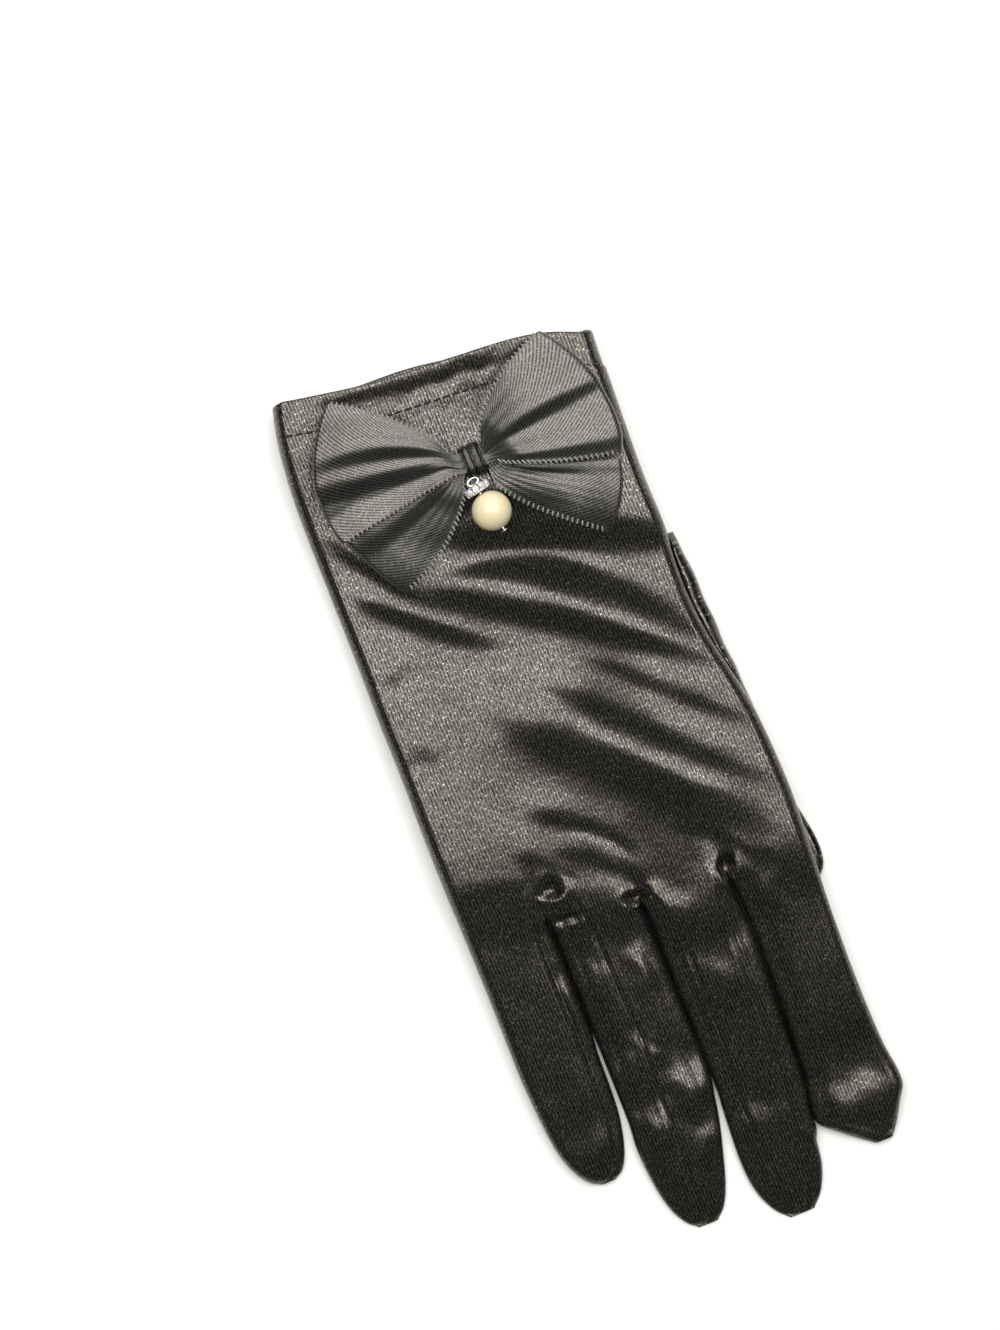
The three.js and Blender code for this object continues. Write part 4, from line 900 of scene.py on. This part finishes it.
def thumb_piece():
    """A tube from rings: underside, right side, the rise to the palm's seam, top, left side."""
    far_rows, left_x, right_x, thick = (np.array(c, float) for c in zip(*THUMB_ROWS))
    rows = 110
    verts, uvs = [], []
    for r in range(rows):
        far = lerp(far_rows[0], far_rows[-1], 1 - (1 - r / (rows - 1)) ** 1.3)
        y = -far
        left = float(smooth_table(far_rows, left_x, far))
        right = float(smooth_table(far_rows, right_x, far))
        high = THUMB_HEIGHT * float(smooth_table(far_rows, thick, far))
        edge = min(2.0, 0.4 * (right - left))
        palm_edge = float(side_edges(np.array(y))[1])
        lift = float(smoothstep(-10.0, -4.0, far) * (1 - smoothstep(26.0, 44.0, far)))
        seam_x = lerp(right - edge, palm_edge + 0.25, lift)
        seam_z = lerp(high, 8.4, lift)
        ring = [(lerp(left + edge, right - edge, t), THUMB_FLOOR) for t in steps(20)]
        for t in steps(14):
            a = lerp(-math.pi / 2, math.pi / 2, t)
            up = (math.sin(a) + 1) / 2
            centre = lerp(right - edge, seam_x, up)
            ring.append((centre + (right - centre) * math.cos(a), lerp(THUMB_FLOOR, seam_z, up)))
        low_x = lerp(right - edge - 0.6, palm_edge - 3.6, lift)
        for t in steps(8):
            a = t * math.pi / 2
            ring.append((lerp(low_x, seam_x, math.cos(a)), lerp(seam_z, high, math.sin(a))))
        ring += [(lerp(low_x, left + edge, t), high) for t in steps(16)]
        for t in steps(8):
            a = lerp(math.pi / 2, math.pi * 1.5, t)
            down = (1 - math.sin(a)) / 2
            ring.append((left + edge + edge * math.cos(a), lerp(high, THUMB_FLOOR, down)))
        wave = 0.25 * math.sin(far * 0.5) * lift
        for x, z in ring:
            push = wave if x > palm_edge + 0.5 else 0.0
            verts.append((x + push * 0.6, y, z))
            uvs.append((x + z, y))
    count = len(verts) // rows
    faces = ring_grid_faces(rows, count).tolist() + end_caps(rows, count)
    piece = make_piece("thumb_satin", verts, faces, SATIN, uvs=uvs)
    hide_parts("thumb")


# The bow
KNOT_X, KNOT_Y = 2.7, 44.3
KNOT_WIDTH, KNOT_DEPTH = 5.3, 8.0
RIBBON_WALL = 0.5
PICOT_PITCH, PICOT_RADIUS = 1.3, 0.22
# Each loop: its side of the knot, how high it rests on the hand and rises at the knot (seat),
# how far it stands open, its lower and upper edge as curves through three places, how its fold
# bulges and curls, and how far its normals lean to catch less of the light. Each pleat: its
# place across the ribbon at the knot and at the fold, width, rise, and how far out it runs.
LOOPS = (
    {
        "name": "bow_lower_left", "side": -1, "rest": 0.7, "open": 2.6, "seat": 1.4,
        "lower": ((0.8, 42.3), (-10.0, 28.7), (-25.0, 20.3)),
        "upper": ((0.8, 45.0), (-18.0, 44.0), (-35.0, 44.0)),
        "bulge": 1.3, "curl": 0.6,
        "lean": 0.22, "pleats": ((0.6, 0.55, 0.07, 1.6, 1.3),),
    },
    {
        "name": "bow_lower_right", "side": 1, "rest": 0.7, "open": 2.6, "seat": 1.4,
        "lower": ((4.6, 41.0), (10.0, 30.2), (27.0, 15.0)),
        "upper": ((4.6, 43.4), (20.0, 36.2), (35.6, 30.6)),
        "bulge": 1.4, "curl": 0.7,
        "lean": 0.21, "pleats": ((0.75, 0.85, 0.06, 1.2, 0.9),),
    },
    {
        "name": "bow_upper_left", "side": -1, "rest": 4.6, "open": 2.8, "seat": 4.2,
        "lower": ((0.8, 43.0), (-14.0, 40.7), (-34.3, 37.3)),
        "upper": ((0.8, 45.7), (-12.0, 61.0), (-25.0, 70.5)),
        "bulge": 5.2, "curl": 1.0,
        "lean": 0.17,
        "pleats": ((0.25, 0.36, 0.07, 3.8, 1.5), (0.6, 0.585, 0.05, 3.0, 1.1),
                   (0.86, 0.84, 0.14, 2.2, 1.5)),
    },
    {
        "name": "bow_upper_right", "side": 1, "rest": 4.6, "open": 2.8, "seat": 5.0,
        "lower": ((4.6, 43.0), (20.0, 36.2), (36.3, 32.0)),
        "upper": ((4.6, 45.7), (12.7, 57.6), (29.0, 67.0)),
        "bulge": 4.6, "curl": 1.0,
        "lean": 0.05,
        "pleats": ((0.1, 0.05, 0.06, 2.4, 1.5), (0.55, 0.5, 0.055, 3.2, 1.3)),
    },
)


def loop_places(loop, s, t, level):
    """Places on one layer of a loop: s runs from the knot out, t across, level 1 is on top."""
    count = 200
    lower = curve_through(*loop["lower"], count)
    upper = curve_through(*loop["upper"], count)
    grid = np.linspace(0, 1, count)
    low = np.stack([np.interp(s, grid, lower[:, i]) for i in range(2)], axis=-1)
    high = np.stack([np.interp(s, grid, upper[:, i]) for i in range(2)], axis=-1)
    flat = lerp(low, high, t[..., None])
    bulge = loop["bulge"] * np.sin(math.pi * t) ** 0.8 * s ** 2
    out = np.maximum(loop["side"] * (flat[..., 0] - KNOT_X) + bulge, 0.0)
    out = np.maximum(out, lerp(0.8, KNOT_WIDTH / 2 + 0.2, smoothstep(0.0, 0.05, s)))
    x = KNOT_X + loop["side"] * out
    squeeze = 1 - smoothstep(0.04, 0.2, s)
    y = lerp(flat[..., 1], KNOT_Y + (t - 0.5) * 5.0, squeeze)
    pinch = 1 - smoothstep(0.04, 0.34, s)
    base = smooth_top_at(x, y) + 0.6 * fold_parts(x, y)[0]
    floor = lerp(base + loop["rest"], smooth_top_at(np.array(KNOT_X), np.array(KNOT_Y))
                 + loop["seat"], pinch)
    thick = lerp(loop["open"], 2.0, pinch)
    crest = np.zeros_like(x)
    for at_knot, at_fold, wide, rise, until in loop["pleats"]:
        middle = lerp(at_knot, at_fold, s)
        grown = smoothstep(-0.1, 0.7, s) * (1 - 0.8 * smoothstep(0.5 * until, until, s))
        steep = np.tanh((t - middle) / lerp(wide * 1.5, wide, s))
        crest += rise * grown * (0.5 * steep - t + 0.5)
    fine = 0.05 * np.sin(t * 46 + 3 * s) * (1 - s) * smoothstep(0.03, 0.15, s)
    curl = -loop["curl"] * smoothstep(0.82, 1.0, s) * 0.5
    top = np.maximum(thick + (crest + fine) + curl, 1.2)
    arch = 0.5 * np.sin(math.pi * t) * s
    z = floor + np.where(level > 0, top * level + arch, 0.15 * (1 + level))
    return np.stack([x, y, z], axis=-1)


def unit(way):
    return way / max(np.linalg.norm(way), 1e-6)


def picot_row(loop, edge):
    """Little loops of thread along a woven edge, 0 for the lower one and 1 for the upper."""
    stations = 400
    s = np.linspace(0.12, 0.985, stations)
    level = np.ones(stations)
    border = loop_places(loop, s, np.full(stations, float(edge)), level)
    inside = loop_places(loop, s, np.full(stations, lerp(0.04, 0.96, edge)), level)
    length = np.concatenate([[0], np.cumsum(np.linalg.norm(np.diff(border, axis=0), axis=1))])
    bodies = []
    for i, at in enumerate(np.arange(0.5, length[-1], PICOT_PITCH)):
        place, within, ahead = (
            np.array([np.interp(far, length, line[:, k]) for k in range(3)])
            for far, line in ((at, border), (at, inside), (at + 0.3, border)))
        out = unit(place - within)
        along = unit(ahead - place) * (0.2 if i % 2 else 0.1)
        place = place + np.array((0, 0, 0.1))
        bodies.append(capsule(place - out * 0.5 - along, place + out * 0.4 + along,
                              PICOT_RADIUS))
    return bodies


def loop_piece(loop):
    """A loop of ribbon: its upper layer, the outer fold and its lower layer."""
    long_steps, across_steps = 70, 70
    turn = np.linspace(math.pi / 2, -math.pi / 2, 9)[1:-1]
    t = np.linspace(0.0, 1.0, across_steps)
    along, over = np.meshgrid(np.linspace(0.0, 1.0, long_steps), t, indexing="ij")
    upper = loop_places(loop, along, over, np.ones_like(along))
    lower = loop_places(loop, along, over, -np.ones_like(along))
    sheets = list(upper)
    centre, half = (upper[-1] + lower[-1]) / 2, (upper[-1] - lower[-1]) / 2
    for a in turn:
        ring = centre + half * math.sin(a)
        ring[:, 0] += loop["side"] * math.cos(a) * np.abs(half[:, 2]) * 0.9
        sheets.append(ring)
    sheets += list(lower[::-2])
    grid = np.array(sheets)
    rows = len(grid)
    verts = grid.reshape(-1, 3)
    r = np.arange(rows - 1)[:, None]
    c = np.arange(across_steps - 1)[None, :]
    a = r * across_steps + c
    faces = np.stack([a, a + across_steps, a + across_steps + 1, a + 1], -1).reshape(-1, 4)
    normals = vertex_normals(verts, faces)
    if normals[(long_steps * across_steps + across_steps) // 2][2] < 0:
        faces, normals = faces[:, ::-1], -normals
    upper = smoothstep(0.3, 0.8, normals[:, 2]) * loop["lean"]
    normals[:, 0] -= upper * IMAGE_UP.x
    normals[:, 1] -= upper * IMAGE_UP.y
    steps = np.linalg.norm(np.diff(grid.mean(axis=1), axis=0), axis=1)
    down = np.concatenate([[0], np.cumsum(steps)])
    width = np.linalg.norm(grid[:, -1] - grid[:, 0], axis=1).max()
    uvs = np.stack(np.broadcast_arrays(down[:, None], t[None, :] * width), -1).reshape(-1, 2)
    return shell_of(verts, faces, normals, uvs, RIBBON_WALL)


def bow_pieces():
    for node, pair in (("bow_lower_ribbon", LOOPS[:2]), ("bow_upper_ribbon", LOOPS[2:])):
        for number, loop in enumerate(pair):
            mesh = loop_piece(loop)
            piece = make_piece(loop["name"], mesh[0], mesh[1], RIBBON,
                               normals=mesh[2], uvs=mesh[3])
            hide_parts(node)
            bodies = picot_row(loop, 0)
            if loop["name"] != "bow_lower_right":
                bodies += picot_row(loop, 1)
            verts, faces = join_bodies(bodies)
            make_piece(loop["name"] + "_picot", verts, faces, PICOT_SHEEN)


def knot_piece():
    """The narrow band round the middle, gathered into creases along its length."""
    base = float(smooth_top_at(np.array(KNOT_X), np.array(KNOT_Y)))
    low, high = base + 0.4, base + 7.6
    around, columns = 120, 40
    half = KNOT_DEPTH / 2 - 0.3
    rng = np.random.default_rng(3)
    creases = [(rng.uniform(0, 1), rng.uniform(0.03, 0.07), rng.uniform(0.15, 0.4))
               for _ in range(9)]
    outer, inner = [], []
    for i in range(around):
        a = 2 * math.pi * i / around
        cy = math.copysign(abs(math.cos(a)) ** 0.45, math.cos(a))
        cz = math.copysign(abs(math.sin(a)) ** 0.6, math.sin(a))
        for j in range(columns):
            share = j / (columns - 1)
            dip = sum(deep * math.exp(-((share - at - 0.03 * math.sin(a * 2 + at * 9)) / wide) ** 2)
                      for at, wide, deep in creases)
            waist = 0.5 * math.sin(math.pi * share)
            x = KNOT_X + (share - 0.5) * (KNOT_WIDTH - 0.3 * math.sin(a))
            for layer, inset in ((outer, 0.0), (inner, 0.6)):
                grow = 0.25 - dip - inset + waist * 0.4
                y = KNOT_Y + cy * (half + grow)
                z = (low + high) / 2 + cz * ((high - low) / 2 + grow)
                layer.append((x, y, max(z, base + 0.1)))
    verts = np.array(outer + inner, float)
    count = around * columns
    faces = []
    for i in range(around):
        n = (i + 1) % around
        for j in range(columns - 1):
            a, b = i * columns + j, n * columns + j
            faces.append((a, b, b + 1, a + 1))
            faces.append((count + a + 1, count + b + 1, count + b, count + a))
        for j in (0, columns - 1):
            a, b = i * columns + j, n * columns + j
            faces.append((a, b, count + b, count + a))
    uvs = np.stack([verts[:, 0], np.arctan2(verts[:, 2] - 14, verts[:, 1] - KNOT_Y) * 4], -1)
    piece = make_piece("bow_knot_band", verts, faces, KNOT_RIBBON, uvs=uvs)
    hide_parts("bow_knot")


# The drop
DROP_X, DROP_Y = 2.1, 30.7
DROP_LEAN = math.radians(11)
BEAD_RADIUS = 5.0
BORE = 0.65
SPACER_MIDDLE = 6.5
WIRE_RADIUS = 0.33
STONES = 9


def drop_matrix():
    low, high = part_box("pearl")
    height = (low.z + high.z) / 2 / MM
    turn = Matrix.Rotation(DROP_LEAN, 4, "Z")
    return Matrix.Translation((DROP_X, DROP_Y, height)) @ turn


def placed(verts, matrix):
    return [tuple(matrix @ Vector(v)) for v in verts]


def turned(profile, sides):
    """A closed profile of radius and height, turned about the drop's axis."""
    verts = []
    for i in range(sides):
        a = 2 * math.pi * i / sides
        verts.extend((r * math.cos(a), h, r * math.sin(a)) for r, h in profile)
    return verts, ring_grid_faces(sides, len(profile), wrap_rows=True).tolist()


def pearl_piece(matrix):
    start = math.asin(BORE / BEAD_RADIUS)
    angles = np.linspace(start, math.pi - start, 56)
    profile = [(BEAD_RADIUS * math.sin(a), -BEAD_RADIUS * math.cos(a)) for a in angles]
    verts, faces = turned(profile, 72)
    piece = make_piece("pearl_bead", placed(verts, matrix), faces, PEARL)
    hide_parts("pearl")


def cut_stone(radius):
    """A round cut stone that faces up Z: table, star and main facets, girdle and culet."""
    work = bmesh.new()
    for i in range(8):
        a = math.pi * i / 4
        b = a + math.pi / 8
        work.verts.new((0.55 * radius * math.cos(b), 0.55 * radius * math.sin(b), 0.42 * radius))
        work.verts.new((0.8 * radius * math.cos(a), 0.8 * radius * math.sin(a), 0.27 * radius))
        work.verts.new((radius * math.cos(b), radius * math.sin(b), 0.02 * radius))
        work.verts.new((0.99 * radius * math.cos(a), 0.99 * radius * math.sin(a), 0))
    work.verts.new((0, 0, -0.7 * radius))
    bmesh.ops.convex_hull(work, input=work.verts)
    work.verts.index_update()
    verts = [tuple(v.co) for v in work.verts]
    faces = [tuple(v.index for v in f.verts) for f in work.faces]
    work.free()
    return verts, faces


def rondelle_piece(matrix):
    """Two fluted plates with a ring of stones between them, fused into one body."""
    bodies, materials = [], []
    levels = ((BORE, 0.75), (BORE, 1.2), (2.2, 1.2), (2.9, 1.1), (3.15, 0.95), (3.0, 0.75))
    sides = 108
    for sign in (-1, 1):
        verts = []
        for i in range(sides):
            a = 2 * math.pi * i / sides
            flute = 1 + 0.05 * math.cos(STONES * a)
            for radius, height in levels:
                r = radius if radius < 1 else radius * flute
                verts.append((r * math.cos(a), sign * height, r * math.sin(a)))
        faces = ring_grid_faces(sides, len(levels), wrap_rows=True)
        faces = (faces if sign < 0 else faces[:, ::-1]).tolist()
        bodies.append((verts, faces))
        materials += [0] * len(faces)
    core = turned([(BORE, -0.8), (2.3, -0.8), (2.3, 0.8), (BORE, 0.8)], 36)
    bodies.append(core)
    materials += [0] * len(core[1])
    stone_verts, stone_faces = cut_stone(1.02)
    for i in range(STONES):
        a = 2 * math.pi * (i + 0.5) / STONES
        turn = Matrix.Rotation(-a, 4, "Y") @ Matrix.Translation((2.95, 0, 0))
        turn = turn @ Matrix.Rotation(math.pi / 2, 4, "Y")
        bodies.append((placed(stone_verts, turn), stone_faces))
        materials += [1] * len(stone_faces)
    for i in range(STONES):
        a = 2 * math.pi * i / STONES
        for sign in (-1, 1):
            low = (3.0 * math.cos(a), sign * 0.55, 3.0 * math.sin(a))
            high = (3.12 * math.cos(a), sign * 0.95, 3.12 * math.sin(a))
            prong = capsule(low, high, 0.2)
            bodies.append(prong)
            materials += [0] * len(prong[1])
    verts, faces = join_bodies(bodies)
    shift = matrix @ Matrix.Translation((0, SPACER_MIDDLE, 0))
    piece = make_piece("rondelle_stones", placed(verts, shift), faces, SILVER,
                       smooth=False)
    piece.data.materials.append(STONE)
    piece.data.polygons.foreach_set("material_index", materials)
    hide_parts("rondelle")


def tube(points, radius, sides=12, closed=False):
    """A round wire along points, turned along the path without a twist."""
    points = [Vector(p) for p in points]
    count = len(points)
    verts = []
    up = Vector((0, 0, 1))
    for i, point in enumerate(points):
        before = points[i - 1] if i or closed else points[0]
        after = points[(i + 1) % count] if i < count - 1 or closed else points[-1]
        way = (after - before).normalized()
        side = way.cross(up).normalized()
        high = side.cross(way)
        for k in range(sides):
            a = 2 * math.pi * k / sides
            verts.append(tuple(point + (side * math.cos(a) + high * math.sin(a)) * radius))
    faces = ring_grid_faces(count, sides, wrap_rows=closed).tolist()
    return verts, faces if closed else faces + end_caps(count, sides)


def pin_piece(matrix):
    """The headed wire through bead and spacer, and its loop that reaches the knot."""
    low = -BEAD_RADIUS - 0.75
    shaft = [(0, lerp(low, 7.9, t), 0) for t in np.linspace(0, 1, 24)]
    head = turned([(0.01, low - 0.35), (0.9, low - 0.25), (0.95, low + 0.05), (0.01, low + 0.3)],
                  24)
    start, end = 7.7, (KNOT_Y - KNOT_DEPTH / 2 - 0.35 - DROP_Y) / math.cos(DROP_LEAN)
    middle, half = (start + end) / 2, (end - start) / 2
    ring = [(1.45 * math.sin(a), middle - half * math.cos(a), 0.0)
            for a in 2 * math.pi * steps(40)]
    bodies = [tube(shaft, WIRE_RADIUS), head, tube(ring, WIRE_RADIUS, closed=True)]
    verts, faces = join_bodies(bodies)
    piece = make_piece("drop_pin_wire", placed(verts, matrix), faces, SILVER)
    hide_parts("drop_pin")


# Floor, light and camera
def add_floor():
    mesh = bpy.data.meshes.new("floor")
    size = 6.0
    mesh.from_pydata([(-size, -size, 0), (size, -size, 0), (size, size, 0), (-size, size, 0)],
                     [], [(0, 1, 2, 3)])
    paper = plain_material("pale_floor", (0.88, 0.88, 0.875), 0.75, mottle=0.01, scale=30.0)
    glow = paper.node_tree.nodes["Principled BSDF"].inputs
    glow["Emission Color"].default_value = (1, 1, 1, 1)
    glow["Emission Strength"].default_value = 0.1
    mesh.materials.append(paper)
    floor = bpy.data.objects.new("floor", mesh)
    bpy.context.scene.collection.objects.link(floor)


def add_light(name, place, target, size, energy, colour=(1, 1, 1)):
    """An area light that faces its target, with its height along the image's up."""
    data = bpy.data.lights.new(name, "AREA")
    data.shape = "RECTANGLE"
    data.size, data.size_y = size
    data.energy = energy
    data.color = colour
    light = bpy.data.objects.new(name, data)
    back = (place - target).normalized()
    side = IMAGE_UP.cross(back).normalized()
    turn = Matrix((side, back.cross(side), back)).transposed().to_4x4()
    light.matrix_world = Matrix.Translation(place) @ turn
    bpy.context.scene.collection.objects.link(light)


def add_camera():
    data = bpy.data.cameras.new("camera")
    data.lens, data.sensor_width = LENS, SENSOR
    camera = bpy.data.objects.new("camera", data)
    height = FRAME_HEIGHT * LENS / SENSOR * MM
    pose = Matrix((IMAGE_RIGHT, IMAGE_UP, Vector((0, 0, 1)))).transposed().to_4x4()
    camera.matrix_world = Matrix.Translation(CENTRE + Vector((0, 0, height + 0.009))) @ pose
    bpy.context.scene.collection.objects.link(camera)
    bpy.context.scene.camera = camera


# The soft light hangs over the hand and reaches from over its crotches to past the cuff. A
# second one stands behind the cuff. Both are in metres.
SOFTBOX_HEIGHT = 0.82
SOFTBOX_LOW, SOFTBOX_HIGH = -0.118, 0.55
SOFTBOX_WIDTH = 1.3
SOFTBOX_POWER = 11.0
BACK_LIGHT_POWER = 8.0
WORLD_STRENGTH = 0.14


def add_lights():
    target = CENTRE + Vector((0, 0, 0.01))
    middle = CENTRE + IMAGE_UP * (SOFTBOX_LOW + SOFTBOX_HIGH) / 2
    add_light("softbox", middle + Vector((0, 0, SOFTBOX_HEIGHT)), middle,
              (SOFTBOX_WIDTH, SOFTBOX_HIGH - SOFTBOX_LOW), SOFTBOX_POWER, (1.0, 0.975, 0.94))
    add_light("back", target + IMAGE_UP * 1.3 + Vector((0, 0, 0.9)), target,
              (1.4, 0.8), BACK_LIGHT_POWER)
    world = bpy.data.worlds.new("studio")
    world.use_nodes = True
    world.node_tree.nodes["Background"].inputs["Color"].default_value = (1, 1, 1, 1)
    world.node_tree.nodes["Background"].inputs["Strength"].default_value = WORLD_STRENGTH
    bpy.context.scene.world = world
    bpy.context.scene.view_settings.view_transform = "Standard"


add_camera()
add_floor()
add_lights()
hand_pieces()
hem_pieces()
hem_stitches()
thumb_piece()
bow_pieces()
knot_piece()
DROP = drop_matrix()
pearl_piece(DROP)
rondelle_piece(DROP)
pin_piece(DROP)
